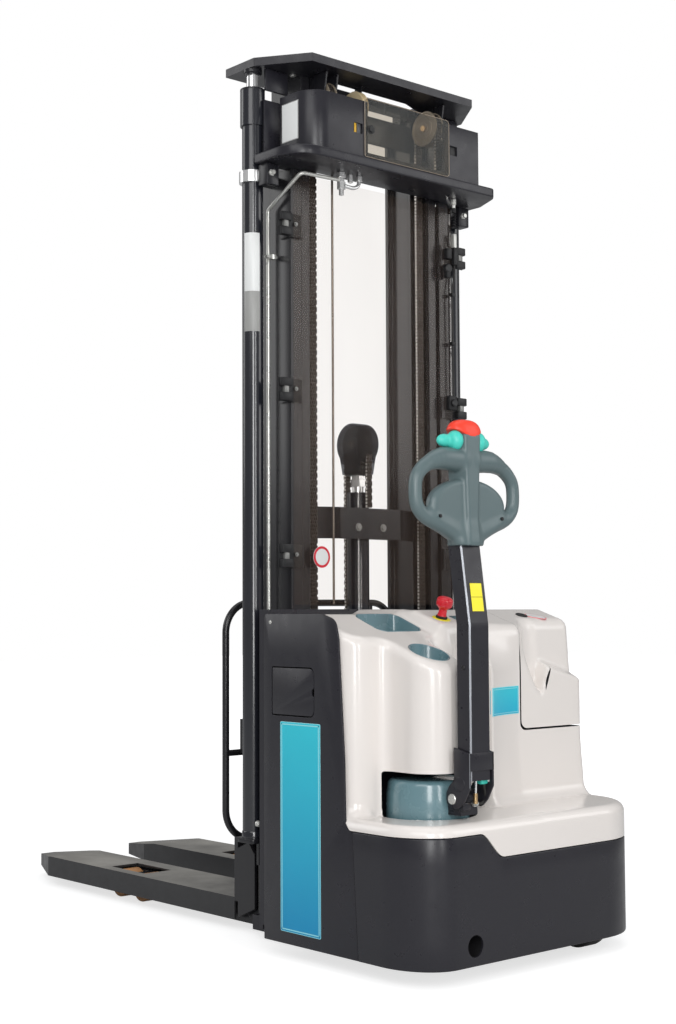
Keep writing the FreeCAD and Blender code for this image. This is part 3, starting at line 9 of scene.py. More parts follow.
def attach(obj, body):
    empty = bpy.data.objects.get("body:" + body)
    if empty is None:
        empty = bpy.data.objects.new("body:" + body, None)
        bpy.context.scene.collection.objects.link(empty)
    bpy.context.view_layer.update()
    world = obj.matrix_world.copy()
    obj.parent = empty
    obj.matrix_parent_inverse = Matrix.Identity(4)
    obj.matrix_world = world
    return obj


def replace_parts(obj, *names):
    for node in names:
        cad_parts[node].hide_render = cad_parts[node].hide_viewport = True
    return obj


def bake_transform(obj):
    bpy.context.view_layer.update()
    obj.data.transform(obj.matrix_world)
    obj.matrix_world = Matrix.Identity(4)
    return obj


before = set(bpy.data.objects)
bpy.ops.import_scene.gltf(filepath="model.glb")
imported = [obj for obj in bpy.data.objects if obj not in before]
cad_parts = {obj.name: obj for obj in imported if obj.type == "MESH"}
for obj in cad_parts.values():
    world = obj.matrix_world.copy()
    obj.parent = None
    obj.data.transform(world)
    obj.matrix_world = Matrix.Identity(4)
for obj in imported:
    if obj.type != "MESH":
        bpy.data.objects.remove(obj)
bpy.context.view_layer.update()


# ---- materials: colours are linear, lengths are metres

def addNode(tree, kind, sockets=(), **settings):
    node = tree.nodes.new(kind)
    for key, value in settings.items():
        setattr(node, key, value)
    for key, value in dict(sockets).items():
        if isinstance(value, bpy.types.NodeSocket):
            tree.links.new(value, node.inputs[key])
        else:
            node.inputs[key].default_value = value
    return node


def newMaterial(name):
    material = bpy.data.materials.new(name)
    material.use_nodes = True
    return material, material.node_tree, material.node_tree.nodes["Principled BSDF"]


def clouds(tree, place, size, detail=3.0, stretch=None):
    if stretch:
        place = addNode(tree, "ShaderNodeMapping", {"Vector": place, "Scale": stretch}).outputs["Vector"]
    made = addNode(tree, "ShaderNodeTexNoise", {"Vector": place, "Scale": 1.0 / size, "Detail": detail})
    return made.outputs["Fac"]


def between(tree, amount, low, high):
    made = addNode(tree, "ShaderNodeMapRange", {"Value": amount, "From Min": 0.3, "From Max": 0.7,
        "To Min": low, "To Max": high})
    return made.outputs["Result"]


def mixColour(tree, amount, first, second, blendType="MIX"):
    made = addNode(tree, "ShaderNodeMix", data_type="RGBA", blend_type=blendType)
    for socket, value in zip((made.inputs[0], made.inputs[6], made.inputs[7]), (amount, first, second)):
        if isinstance(value, bpy.types.NodeSocket):
            tree.links.new(value, socket)
        else:
            socket.default_value = value
    return made.outputs[2]


def shade(colour, factor):
    return tuple(min(1.0, part * factor) for part in colour[:3]) + (1.0,)


def surfaceOf(name, colour, rough, metal=0.0, specular=0.5, coat=0.0, coatRough=0.1, patch=0.05,
        patchSize=0.22, stretch=None, scuff=0.15, scuffSize=0.035, speck=0.0, speckColour=None, paleOnTop=0.0,
        peel=0.1, peelSize=0.0025, edge=0.0):
    material, tree, shader = newMaterial(name)
    place = addNode(tree, "ShaderNodeTexCoord").outputs["Object"]
    blotch = clouds(tree, place, patchSize, 4.0, stretch)
    tone = mixColour(tree, blotch, shade(colour, 1 - patch), shade(colour, 1 + patch))
    if speck:   # fine fleck of the paint
        fleck = between(tree, clouds(tree, place, 0.0016, 2.0), 0.0, speck)
        tone = mixColour(tree, fleck, tone, speckColour)
    if paleOnTop:    # faces that look up are mixed toward pale grey, in loose patches
        normal = addNode(tree, "ShaderNodeNewGeometry").outputs["Normal"]
        up = addNode(tree, "ShaderNodeSeparateXYZ", {"Vector": normal}).outputs["Z"]
        up = addNode(tree, "ShaderNodeMapRange", {"Value": up, "From Min": 0.6, "From Max": 1.0,
            "To Max": paleOnTop})
        patchy = addNode(tree, "ShaderNodeMath",
            {0: up.outputs["Result"], 1: between(tree, blotch, 0.3, 1.0)}, operation="MULTIPLY")
        tone = mixColour(tree, patchy.outputs["Value"], tone, (0.42, 0.4, 0.36, 1))
    tree.links.new(tone, shader.inputs["Base Color"])
    worn = clouds(tree, place, scuffSize, 3.0, stretch)
    tree.links.new(between(tree, worn, rough * (1 - scuff), rough * (1 + scuff)), shader.inputs["Roughness"])
    for socket, value in (("Metallic", metal), ("Coat Weight", coat), ("Coat Roughness", coatRough),
            ("Specular IOR Level", specular)):
        shader.inputs[socket].default_value = value
    bump = addNode(tree, "ShaderNodeBump", {"Height": clouds(tree, place, peelSize, 2.0), "Strength": peel,
        "Distance": 0.0004})
    if edge:    # softens the light on hard edges
        soft = addNode(tree, "ShaderNodeBevel", {"Radius": edge}, samples=4)
        tree.links.new(soft.outputs["Normal"], bump.inputs["Normal"])
    tree.links.new(bump.outputs["Normal"], shader.inputs["Normal"])
    return material


finishes = {   # base colour, roughness, and what else differs from surfaceOf's own values
    "charcoalPaint": ((0.015, 0.0144, 0.0195), 0.31, {"specular": 0.45, "peel": 0.22, "peelSize": 0.0018,
        "speck": 0.08, "speckColour": (0.07, 0.07, 0.08, 1), "patch": 0.07, "edge": 0.0016}),
    "mastPaint": ((0.013, 0.013, 0.016), 0.28, {"specular": 0.45, "peel": 0.12, "peelSize": 0.003,
        "patch": 0.1, "edge": 0.0015, "stretch": (1, 1, 0.15)}),
    "cylinderPaint": ((0.013, 0.014, 0.019), 0.18, {"specular": 0.8, "peel": 0.04, "peelSize": 0.004,
        "patch": 0.15, "stretch": (1, 1, 0.1)}),
    "railPaint": ((0.015, 0.0145, 0.017), 0.24, {"specular": 0.5, "peel": 0.08, "peelSize": 0.003,
        "patch": 0.28, "patchSize": 0.03, "edge": 0.0035, "stretch": (1, 1, 0.03)}),
    "cream": ((0.76, 0.715, 0.68), 0.24, {"scuff": 0.02, "scuffSize": 0.15, "coat": 0.35, "coatRough": 0.08,
        "peel": 0.05, "peelSize": 0.004, "patch": 0.02, "patchSize": 0.4}),
    # near-black inner side of the moulding, also painted shade inside the hood and the finger slot
    "mouldBack": ((0.03, 0.03, 0.032), 0.6, {"peel": 0.2, "patch": 0.1}),
    "blueGrey": ((0.125, 0.225, 0.255), 0.27, {"coat": 0.6, "coatRough": 0.1, "peel": 0.16,
        "peelSize": 0.0011, "patch": 0.05}),
    "headGrey": ((0.1, 0.142, 0.148), 0.33, {"peel": 0.25, "peelSize": 0.0009, "patch": 0.05}),
    "forkPaint": ((0.026, 0.026, 0.028), 0.4, {"peel": 0.14, "patch": 0.18, "edge": 0.0018, "paleOnTop": 0.75}),
    "chrome": ((0.86, 0.86, 0.86), 0.12, {"metal": 0.72, "peel": 0.02, "patch": 0.03,
        "stretch": (1, 1, 0.08)}),
    "chainSteel": ((0.07, 0.06, 0.054), 0.36, {"metal": 0.7, "peel": 0.2, "patch": 0.3, "patchSize": 0.02}),
    "pinSteel": ((0.5, 0.47, 0.44), 0.3, {"metal": 0.5, "peel": 0.1, "patch": 0.25, "patchSize": 0.02}),
    "pulleySteel": ((0.34, 0.285, 0.215), 0.42, {"metal": 0.2, "peel": 0.15, "patch": 0.25,
        "patchSize": 0.03}),
    "zinc": ((0.6, 0.6, 0.57), 0.28, {"metal": 0.6, "peel": 0.1, "patch": 0.1, "patchSize": 0.02}),
    "dullZinc": ((0.26, 0.26, 0.25), 0.38, {"metal": 0.5, "peel": 0.1, "patch": 0.1, "patchSize": 0.02}),
    "rollerTyre": ((0.48, 0.24, 0.1), 0.5, {"peel": 0.2, "patch": 0.12, "patchSize": 0.03}),
    "blackRubber": ((0.02, 0.019, 0.018), 0.62, {"peel": 0.3, "patch": 0.2, "patchSize": 0.05}),
    "battery": ((0.028, 0.029, 0.033), 0.55, {"peel": 0.25, "patch": 0.08, "edge": 0.002}),
    # pale grey: thin marks in the crosshead slot, and painted highlight on the tiller arm's edges
    "greyMarkAndPaintedHighlight": ((0.22, 0.23, 0.25), 0.34, {"metal": 0.5, "peel": 0.1, "patch": 0.2}),
    "brass": ((0.55, 0.38, 0.2), 0.3, {"metal": 1.0, "peel": 0.05, "patch": 0.1}),
    "labelGrey": ((0.3, 0.3, 0.29), 0.38, {"peel": 0.03, "patch": 0.1}),
    "signRed": ((0.62, 0.01, 0.03), 0.35, {"peel": 0.03, "patch": 0.04}),
    # bright rim round the crosshead window: painted highlight on the sheet's edge
    "paintedEdgeGlint": ((0.62, 0.52, 0.42), 0.2, {"peel": 0.02, "patch": 0.1}),
    "pipeSteel": ((0.2, 0.17, 0.145), 0.3, {"metal": 0.9, "peel": 0.05, "patch": 0.15}),
    "labelEdge": ((0.3, 0.74, 0.8), 0.35, {"peel": 0.03, "patch": 0.03}),
    "blankWhite": ((0.72, 0.73, 0.72), 0.35, {"peel": 0.03, "patch": 0.03}),
    "blankYellow": ((0.9, 0.78, 0.02), 0.35, {"peel": 0.03, "patch": 0.04}),
    "dullYellow": ((0.62, 0.36, 0.02), 0.45, {"peel": 0.05, "patch": 0.1}),
    "hosePulley": ((0.62, 0.5, 0.3), 0.35, {"peel": 0.05, "patch": 0.12, "patchSize": 0.03}),
    "paleRed": ((0.78, 0.22, 0.24), 0.35, {"peel": 0.03, "patch": 0.04}),
    "turquoise": ((0.06, 0.6, 0.5), 0.34, {"peel": 0.05, "patch": 0.05}),
    "blackPlastic": ((0.012, 0.012, 0.013), 0.42, {"peel": 0.15, "patch": 0.1, "specular": 0.4}),
    "bellyRed": ((0.9, 0.05, 0.022), 0.36, {"peel": 0.05, "patch": 0.04}),
    "signalRed": ((0.74, 0.012, 0.028), 0.28, {"coat": 0.3, "peel": 0.05, "patch": 0.04}),
}
materials = {name: surfaceOf(name, colour, rough, **more) for name, (colour, rough, more) in finishes.items()}


def makeClearSheet(name, tint, gloss, colour):
    material, tree, shader = newMaterial(name)
    place = addNode(tree, "ShaderNodeTexCoord").outputs["Object"]
    haze = clouds(tree, place, 0.3, 4.0, (1, 1, 0.3))
    shader.inputs["Base Color"].default_value = (*colour, 1)
    tree.links.new(between(tree, haze, 0.03, 0.09), shader.inputs["Roughness"])
    through = addNode(tree, "ShaderNodeBsdfTransparent", {"Color": tint})
    smear = addNode(tree, "ShaderNodeMath", {0: between(tree, haze, 0.0, 0.05), 1: gloss}, operation="ADD")
    mixed = addNode(tree, "ShaderNodeMixShader", {0: smear.outputs["Value"], 1: through.outputs[0],
        2: shader.outputs[0]})
    tree.links.new(mixed.outputs[0], tree.nodes["Material Output"].inputs["Surface"])
    return material


def makeLabel(name, top, bottom, low, high):   # printed film whose colour runs from top to bottom
    material, tree, shader = newMaterial(name)
    place = addNode(tree, "ShaderNodeTexCoord").outputs["Object"]
    height = addNode(tree, "ShaderNodeSeparateXYZ", {"Vector": place}).outputs["Z"]
    share = addNode(tree, "ShaderNodeMapRange",
        {"Value": height, "From Min": low, "From Max": high}).outputs[0]
    colour = mixColour(tree, share, (*bottom, 1), (*top, 1))
    fade = mixColour(tree, clouds(tree, place, 0.15, 2.0), (0.95, 0.95, 0.95, 1), (1.04, 1.04, 1.04, 1))
    tree.links.new(mixColour(tree, 1.0, colour, fade, "MULTIPLY"), shader.inputs["Base Color"])
    tree.links.new(between(tree, clouds(tree, place, 0.2), 0.28, 0.33), shader.inputs["Roughness"])
    return material


labels = {   # colours at the top and the bottom, and the heights where they end
    "blueLabel": ((0.028, 0.57, 0.69), (0.0, 0.27, 0.53), 0.07, 0.58),
    "bulgeLabel": ((0.03, 0.58, 0.7), (0.004, 0.42, 0.64), 0.58, 0.655),
}
sheets = {   # what shows through, how much is reflected, and the sheet's own colour
    "darkSheet": ((0.4, 0.41, 0.43, 1), 0.14, (0.05, 0.055, 0.065)),
    "smokedSheet": ((0.8, 0.76, 0.7, 1), 0.09, (0.22, 0.24, 0.25)),
    "clearSheet": ((0.995, 0.985, 0.975, 1), 0.016, (0.2, 0.14, 0.105)),
}
materials.update({name: makeLabel(name, *look) for name, look in labels.items()})
materials.update({name: makeClearSheet(name, *look) for name, look in sheets.items()})

nodeFinish = {
    "charcoalPaint": ["base_frame", "bulkhead", "side_panel_left", "side_panel_right", "rear_skirt",
        "crosshead", "mast_top_plate", "hatch_door", "tiller_arm", "drive_unit"],
    "mastPaint": ["freelift_head", "castor_fork", "support_legs"],
    "cylinderPaint": ["lift_cylinders", "freelift_cylinder"],
    "railPaint": ["outer_mast", "middle_mast", "inner_mast", "carriage_frame", "load_backrest"],
    "cream": ["hood_tower", "rear_deck", "battery_lid"],
    "blueGrey": ["storage_tray", "cup_holder", "key_panel", "steering_dome"],
    "headGrey": ["tiller_head"],
    "forkPaint": ["fork_left", "fork_right"],
    "chrome": ["lift_rods"],
    "chainSteel": ["chain_pulleys", "upper_chains", "lower_chains", "freelift_rear_chain",
        "freelift_front_chain"],
    "zinc": ["hydraulic_pipe"],
    "rollerTyre": ["load_roller_rear_left", "load_roller_rear_right", "load_roller_front_left",
        "load_roller_front_right"],
    "blackRubber": ["drive_wheel", "castor_wheel"],
    "battery": ["battery_pack"],
    "signalRed": ["emergency_stop"],
    "smokedSheet": ["clear_guards"],
}
slotOf = {   # the record's material slot for each finish
    "charcoal_steel": ["charcoalPaint"],
    "mast_steel": ["mastPaint", "cylinderPaint", "railPaint"],
    "cream_plastic": ["cream", "mouldBack"],
    "blue_grey_plastic": ["blueGrey"],
    "fork_steel": ["forkPaint"],
    "chrome_rod": ["chrome"],
    "chain_steel": ["chainSteel", "pinSteel", "pulleySteel"],
    "clear_guard": ["clearSheet", "smokedSheet", "darkSheet"],
    "zinc_pipe": ["zinc", "dullZinc"],
    "wheel_tyre": ["rollerTyre"],
    "drive_tyre": ["blackRubber"],
    "battery_case": ["battery"],
    "red_plastic": ["signalRed", "bellyRed"],
    "head_plastic": ["headGrey"],
}
slotOf = {finish: slot for slot, finishes in slotOf.items() for finish in finishes}
for finish, names in nodeFinish.items():
    for name in names:
        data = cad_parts[name].data
        data.materials.clear()
        data.materials.append(materials[finish])
print("finishes:", len(materials))


# ---- floor, light and camera

studio = {
    "floorSize": 40.0, "floorWhite": 0.7, "floorColour": 0.5, "worldLight": 0.41, "mirrorShare": 0.18,
    "mirrorWorld": 0.1,
    "key": {"at": (-4.5, -3.0, 4.2), "to": (0.0, -0.4, 1.0), "size": (3.2, 3.2), "watts": 78},
    "side": {"at": (3.6, -4.2, 3.0), "to": (0.1, -0.5, 0.8), "size": (2.6, 3.0), "watts": 46},
    "top": {"at": (0.0, -0.5, 5.2), "to": (0.0, -0.4, 0.0), "size": (4.0, 4.0), "watts": 45},
    "strip": {"at": (-2.75, -4.05, 1.75), "to": (0.0, -0.4, 1.0), "size": (0.9, 2.6), "watts": 72},
    "stripRight": {"at": (-0.9, -4.6, 1.75), "to": (0.0, -0.4, 1.0), "size": (0.45, 2.6), "watts": 34},
    "rim": {"at": (-3.0, 3.6, 3.0), "to": (0.0, -0.2, 1.0), "size": (2.5, 3.0), "watts": 45},
}


def whiteShare(tree):   # 1 where the camera looks, a part of it in reflections, 0 for the light that falls
    path = addNode(tree, "ShaderNodeLightPath")
    mirror = addNode(tree, "ShaderNodeMath", {0: path.outputs["Is Glossy Ray"], 1: studio["mirrorShare"]},
        operation="MULTIPLY")
    seen = addNode(tree, "ShaderNodeMath", {0: path.outputs["Is Camera Ray"], 1: mirror.outputs[0]},
        operation="ADD")
    return addNode(tree, "ShaderNodeMath", {0: seen.outputs[0], 1: path.outputs["Is Transmission Ray"]},
        operation="ADD", use_clamp=True).outputs[0]


def makeFloor():
    half = studio["floorSize"] / 2
    mesh = bpy.data.meshes.new("floor")
    mesh.from_pydata([(-half, -half, 0), (half, -half, 0), (half, half, 0), (-half, half, 0)], [],
        [(0, 1, 2, 3)])
    floor = bpy.data.objects.new("floor", mesh)
    bpy.context.scene.collection.objects.link(floor)
    material, tree, shader = newMaterial("paleFloor")
    tree.nodes.remove(shader)
    grey = studio["floorColour"]
    lit = addNode(tree, "ShaderNodeBsdfDiffuse", {"Color": (grey, grey, grey, 1)})
    glow = addNode(tree, "ShaderNodeEmission", {"Color": (1, 1, 1, 1)})
    place = addNode(tree, "ShaderNodeTexCoord").outputs["Object"]
    away = addNode(tree, "ShaderNodeVectorMath", {0: place}, operation="LENGTH").outputs["Value"]
    white = addNode(tree, "ShaderNodeMapRange", {"Value": away, "From Min": 1.6, "From Max": 5.0,
        "To Min": studio["floorWhite"], "To Max": 1.1})
    strength = addNode(tree, "ShaderNodeMath", {0: whiteShare(tree), 1: white.outputs["Result"]},
        operation="MULTIPLY")
    tree.links.new(strength.outputs[0], glow.inputs["Strength"])
    both = addNode(tree, "ShaderNodeAddShader", {0: lit.outputs[0], 1: glow.outputs[0]})
    tree.links.new(both.outputs[0], tree.nodes["Material Output"].inputs["Surface"])
    mesh.materials.append(material)


def makeWorld():
    world = bpy.data.worlds.new("studio")
    world.use_nodes = True
    bpy.context.scene.world = world
    tree = world.node_tree
    light = tree.nodes["Background"]
    light.inputs["Color"].default_value = (0.95, 0.97, 1.0, 1)
    light.inputs["Strength"].default_value = studio["worldLight"]
    dim = addNode(tree, "ShaderNodeBackground", {"Color": (1, 1, 1, 1), "Strength": studio["mirrorWorld"]})
    white = addNode(tree, "ShaderNodeBackground", {"Color": (1, 1, 1, 1), "Strength": 1.0})
    mirror = addNode(tree, "ShaderNodeLightPath").outputs["Is Glossy Ray"]
    falling = addNode(tree, "ShaderNodeMixShader", {0: mirror, 1: light.outputs[0], 2: dim.outputs[0]})
    mixed = addNode(tree, "ShaderNodeMixShader",
        {0: whiteShare(tree), 1: falling.outputs[0], 2: white.outputs[0]})
    tree.links.new(mixed.outputs[0], tree.nodes["World Output"].inputs["Surface"])


def makeLamp(name, lamp):
    data = bpy.data.lights.new(name, "AREA")
    data.shape = "RECTANGLE"
    data.size, data.size_y = lamp["size"]
    data.energy = lamp["watts"]
    made = bpy.data.objects.new(name, data)
    bpy.context.scene.collection.objects.link(made)
    made.location = lamp["at"]
    made.rotation_euler = (Vector(lamp["to"]) - Vector(lamp["at"])).to_track_quat("-Z", "Y").to_euler()


def makeCamera(view):
    data = bpy.data.cameras.new("camera")
    data.sensor_fit = "VERTICAL"
    data.sensor_height = 36.0
    data.lens = view["lens"]
    camera = bpy.data.objects.new("camera", data)
    bpy.context.scene.collection.objects.link(camera)
    yaw, pitch = math.radians(view["yaw"]), math.radians(view["pitch"])
    ahead = Vector((math.sin(yaw) * math.cos(pitch), math.cos(yaw) * math.cos(pitch), math.sin(pitch)))
    turned = ahead.to_track_quat("-Z", "Y").to_matrix() @ Matrix.Rotation(math.radians(view["roll"]), 3, "Z")
    camera.matrix_world = Matrix.Translation(view["at"]) @ turned.to_4x4()
    bpy.context.scene.camera = camera


makeFloor()
makeWorld()
for name in ("key", "side", "top", "strip", "stripRight", "rim"):
    makeLamp(name, studio[name])
makeCamera({"at": (-2.879, -3.541, 0.853), "yaw": 41.18, "pitch": 3.52, "roll": -0.26, "lens": 55.54})
bpy.context.scene.view_settings.view_transform = "Standard"
print("studio ready")


# ---- shaping tools

def addMesh(name, meshes, body, smoothAngle):   # a piece, of one mesh or several, that rides on a body
    mesh = meshes if isinstance(meshes, bpy.types.Mesh) else together(*meshes)
    made = bpy.data.objects.new(name, mesh)
    bpy.context.scene.collection.objects.link(made)
    mesh.shade_smooth()
    mesh.set_sharp_from_angle(angle=math.radians(smoothAngle))
    if body:
        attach(made, body)
    return made


def joined(first, second, radius):   # union of two fields, with a round fillet in the corner
    a, b = np.maximum(radius - first, 0), np.maximum(radius - second, 0)
    return np.maximum(radius, np.minimum(first, second)) - np.hypot(a, b)


def within(first, second, radius):   # what lies in both fields, with a rounded edge
    a, b = np.maximum(radius + first, 0), np.maximum(radius + second, 0)
    return np.minimum(-radius, np.maximum(first, second)) + np.hypot(a, b)


def ease(value, low, high):   # 0 at low, 1 at high, smooth between; low may be the higher one
    share = np.clip((value - low) / (high - low), 0, 1)
    return share * share * (3 - 2 * share)


def sculpt(field, low, high, cell, steps, finish):   # closed skin where field(x, y, z) is zero
    axes = [np.arange(a, b + cell, cell) for a, b in zip(low, high)]
    x, y, z = np.meshgrid(*axes, indexing="ij", sparse=True)
    value = np.broadcast_to(field(x, y, z), [len(axis) for axis in axes])
    inside = value < 0
    size = np.array(value.shape) - 1
    total, count = np.zeros([*size, 3]), np.zeros(size)
    for axis in range(3):
        others = [k for k in range(3) if k != axis]
        first = [slice(0, -1) if k == axis else slice(None) for k in range(3)]
        second = [slice(1, None) if k == axis else slice(None) for k in range(3)]
        a, b = value[tuple(first)], value[tuple(second)]
        crossing = (a < 0) != (b < 0)
        share = np.where(crossing, a / np.where(crossing, a - b, 1), 0)
        for shift in ((0, 0), (0, 1), (1, 0), (1, 1)):
            part = [slice(None)] * 3
            for k, step in zip(others, shift):
                part[k] = slice(step, step + size[k])
            hit = crossing[tuple(part)]
            count += hit
            for k in range(3):
                offset = share[tuple(part)] if k == axis else shift[others.index(k)]
                total[..., k] += hit * offset
    active = count > 0
    number = np.full(size, -1)
    number[active] = np.arange(active.sum())
    cells = np.argwhere(active)
    points = np.array(low) + (cells + total[active] / count[active][:, None]) * cell
    faces = []
    for axis in range(3):
        u, v = [k for k in range(3) if k != axis]
        first = [slice(1, -1)] * 3
        first[axis] = slice(0, -1)
        second = list(first)
        second[axis] = slice(1, None)
        a, b = inside[tuple(first)], inside[tuple(second)]
        for where, flip in ((a & ~b, axis == 1), (b & ~a, axis != 1)):
            spot = np.argwhere(where)
            spot[:, u] += 1
            spot[:, v] += 1
            ring = []
            for du, dv in ((-1, -1), (0, -1), (0, 0), (-1, 0)):
                moved = spot.copy()
                moved[:, u] += du
                moved[:, v] += dv
                ring.append(number[tuple(moved.T)])
            quad = np.stack(ring[::-1] if flip else ring, axis=1)
            faces.append(quad[(quad >= 0).all(axis=1)])
    faces = np.concatenate(faces)
    ends = np.concatenate([np.stack([faces[:, k], faces[:, (k + 1) % 4]], axis=1) for k in range(4)])
    near = np.maximum(np.bincount(ends[:, 0], minlength=len(points)), 1)[:, None]
    small = cell * 0.05
    for step in range(steps):   # settles the points on the field, evenly spread
        here = field(*points.T)
        slope = np.stack([(field(*(points + small * way).T) - field(*(points - small * way).T))
            / (2 * small) for way in np.eye(3)], axis=1)
        length = np.maximum((slope ** 2).sum(axis=1), 0.05)[:, None]
        points = points - np.clip(here[:, None] / length * slope, -cell * 0.5, cell * 0.5)
        if step < steps - 1:
            middle = np.stack([np.bincount(ends[:, 0], points[ends[:, 1], k], len(points))
                for k in range(3)], axis=1)
            drift = middle / near - points
            drift -= (drift * slope).sum(axis=1)[:, None] / length * slope
            points = points + drift * 0.7
    mesh = bpy.data.meshes.new("skin")
    mesh.vertices.add(len(points))
    mesh.vertices.foreach_set("co", points.astype(np.float32).ravel())
    mesh.loops.add(faces.size)
    mesh.loops.foreach_set("vertex_index", faces.astype(np.int32).ravel())
    mesh.polygons.add(len(faces))
    mesh.polygons.foreach_set("loop_start", np.arange(0, faces.size, 4, dtype=np.int32))
    mesh.update(calc_edges=True)
    mesh.validate()
    mesh.materials.append(materials[finish])
    return mesh


def bands(rows, count, loop=False):   # faces between rows of points, each row closed round
    return [(k * count + i, k * count + (i + 1) % count, (k + 1) % rows * count + (i + 1) % count,
        (k + 1) % rows * count + i) for k in range(rows if loop else rows - 1) for i in range(count)]


def endFaces(rows, count):   # a face over the first row and one over the last
    return [tuple(range(count)), tuple(range((rows - 1) * count, rows * count))]


def cutter(points, axis, low, high, finish=None):   # prism: an outline swept along an axis
    order = {"X": (1, 2, 0), "Y": (0, 2, 1), "Z": (0, 1, 2)}[axis]
    vertices = []
    for level in (low, high):
        for u, v in points:
            place = [0.0, 0.0, 0.0]
            place[order[0]], place[order[1]], place[order[2]] = u, v, level
            vertices.append(place)
    return meshFrom(vertices, endFaces(2, len(points)) + bands(2, len(points)), finish)


def meshFrom(vertices, faces, finish=None):
    mesh = bpy.data.meshes.new("part")
    mesh.from_pydata([tuple(place) for place in vertices], [], faces)
    shape = bmesh.new()
    shape.from_mesh(mesh)
    bmesh.ops.remove_doubles(shape, verts=shape.verts, dist=1e-6)
    bmesh.ops.recalc_face_normals(shape, faces=shape.faces)
    shape.to_mesh(mesh)
    shape.free()
    if finish:
        mesh.materials.append(materials[finish])
    return mesh


def plate(points, axis, low, high, edge=0.0, finish=None, steps=2):   # prism with its rim edges rounded
    mesh = cutter(points, axis, low, high, finish)
    if edge:
        shape = bmesh.new()
        shape.from_mesh(mesh)
        rims = [e for e in shape.edges
            if len(e.link_faces) == 2 and max(len(f.verts) for f in e.link_faces) > 4]
        if len(points) <= 4:
            rims = shape.edges[:]
        bmesh.ops.bevel(shape, geom=rims, offset=edge, segments=steps, profile=0.5, affect="EDGES",
            clamp_overlap=True)
        shape.to_mesh(mesh)
        shape.free()
    return mesh


def block(low, high, edge=0.002, finish=None, steps=2):   # box with rounded edges
    return plate([(low[0], low[1]), (high[0], low[1]), (high[0], high[1]), (low[0], high[1])], "Z", low[2],
        high[2], edge, finish, steps)


def roundCorners(points, radius, count=5):   # polygon with arcs for corners; a third number is a corner's own
    made = []
    for i, point in enumerate(points):
        here = Vector(point[:2])
        before, after = Vector(points[i - 1][:2]) - here, Vector(points[(i + 1) % len(points)][:2]) - here
        turn = before.angle(after)
        size = point[2] if len(point) > 2 else radius
        if size <= 0 or turn > math.radians(177):
            made.append(tuple(here))
            continue
        reach = min(size / math.tan(turn / 2), before.length * 0.49, after.length * 0.49)
        size = reach * math.tan(turn / 2)
        middle = here + (before.normalized() + after.normalized()).normalized() * (size / math.sin(turn / 2))
        start, end = here + before.normalized() * reach - middle, here + after.normalized() * reach - middle
        first = math.atan2(start.y, start.x)
        sweep = (math.atan2(end.y, end.x) - first + math.pi) % math.tau - math.pi
        for k in range(count + 1):
            angle = first + sweep * k / count
            made.append((middle.x + size * math.cos(angle), middle.y + size * math.sin(angle)))
    return made


def ring(centre, radius, count=48, squeeze=1.0):
    return [(centre[0] + radius * math.cos(math.tau * i / count),
        centre[1] + radius * squeeze * math.sin(math.tau * i / count)) for i in range(count)]


def softRect(low, high, radius, count=6):   # rectangle with round corners
    return roundCorners([low, (high[0], low[1]), high, (low[0], high[1])], radius, count)


def turned(profile, at, axis=(0, 0, 1), count=32, finish=None, loop=False):   # lathe: (radius, height) pairs
    spin = Vector((0, 0, 1)).rotation_difference(Vector(axis)).to_matrix()
    vertices = []
    for radius, height in profile:
        for i in range(count):
            angle = math.tau * i / count
            vertices.append(Vector(at) + spin
                @ Vector((radius * math.cos(angle), radius * math.sin(angle), height)))
    faces = bands(len(profile), count, loop)
    for cap, (radius, height) in zip(endFaces(len(profile), count), (profile[0], profile[-1])):
        if radius > 1e-6 and not loop:
            faces.append(cap)
    return meshFrom(vertices, faces, finish)


def peg(radius, height, at, axis, count, finish):   # plain pin or disc that stands on its open end
    return turned([(radius, 0), (radius, height), (0, height)], at, axis, count, finish)


def bendPath(points, radius, count=6):   # 3-D route with rounded turns
    points = [Vector(p) for p in points]
    made = [points[0]]
    for before, here, after in zip(points, points[1:], points[2:]):
        reach = min(radius, (before - here).length * 0.48, (after - here).length * 0.48)
        start, end = here + (before - here).normalized() * reach, here + (after - here).normalized() * reach
        for k in range(count + 1):
            t = k / count
            made.append(start * (1 - t) ** 2 + here * 2 * t * (1 - t) + end * t ** 2)
    return made + [points[-1]]


def swept(path, outline, finish=None, up=None):   # an outline carried along a route without twisting
    path = [Vector(p) for p in path]
    ahead = (path[1] - path[0]).normalized()
    side = Vector(up) if up else ahead.orthogonal()
    side = (side - ahead * side.dot(ahead)).normalized()
    vertices = []
    for i, here in enumerate(path):
        now = (path[min(i + 1, len(path) - 1)] - path[max(i - 1, 0)]).normalized()
        side = ahead.rotation_difference(now) @ side
        side = (side - now * side.dot(now)).normalized()
        ahead, across = now, now.cross(side)
        vertices += [here + side * u + across * v for u, v in outline]
    faces = endFaces(len(path), len(outline)) + bands(len(path), len(outline))
    return meshFrom(vertices, faces, finish)


def tube(path, radius, finish=None, count=12):
    return swept(path, ring((0, 0), radius, count), finish)


def lofted(rings, finish):   # skin through rings of equal count, capped at both ends
    faces = bands(len(rings), len(rings[0])) + endFaces(len(rings), len(rings[0]))
    return meshFrom([p for one in rings for p in one], faces, finish)


def together(*meshes):   # one mesh of several, each keeping its materials
    shape = bmesh.new()
    slots = []
    for mesh in meshes:
        start = len(shape.faces)
        shape.from_mesh(mesh)
        shape.faces.ensure_lookup_table()
        own = []
        for material in mesh.materials:
            if material not in slots:
                slots.append(material)
            own.append(slots.index(material))
        for face in shape.faces[start:]:
            face.material_index = own[face.material_index] if own else 0
    made = bpy.data.meshes.new("joined")
    shape.to_mesh(made)
    shape.free()
    for material in slots:
        made.materials.append(material)
    return made


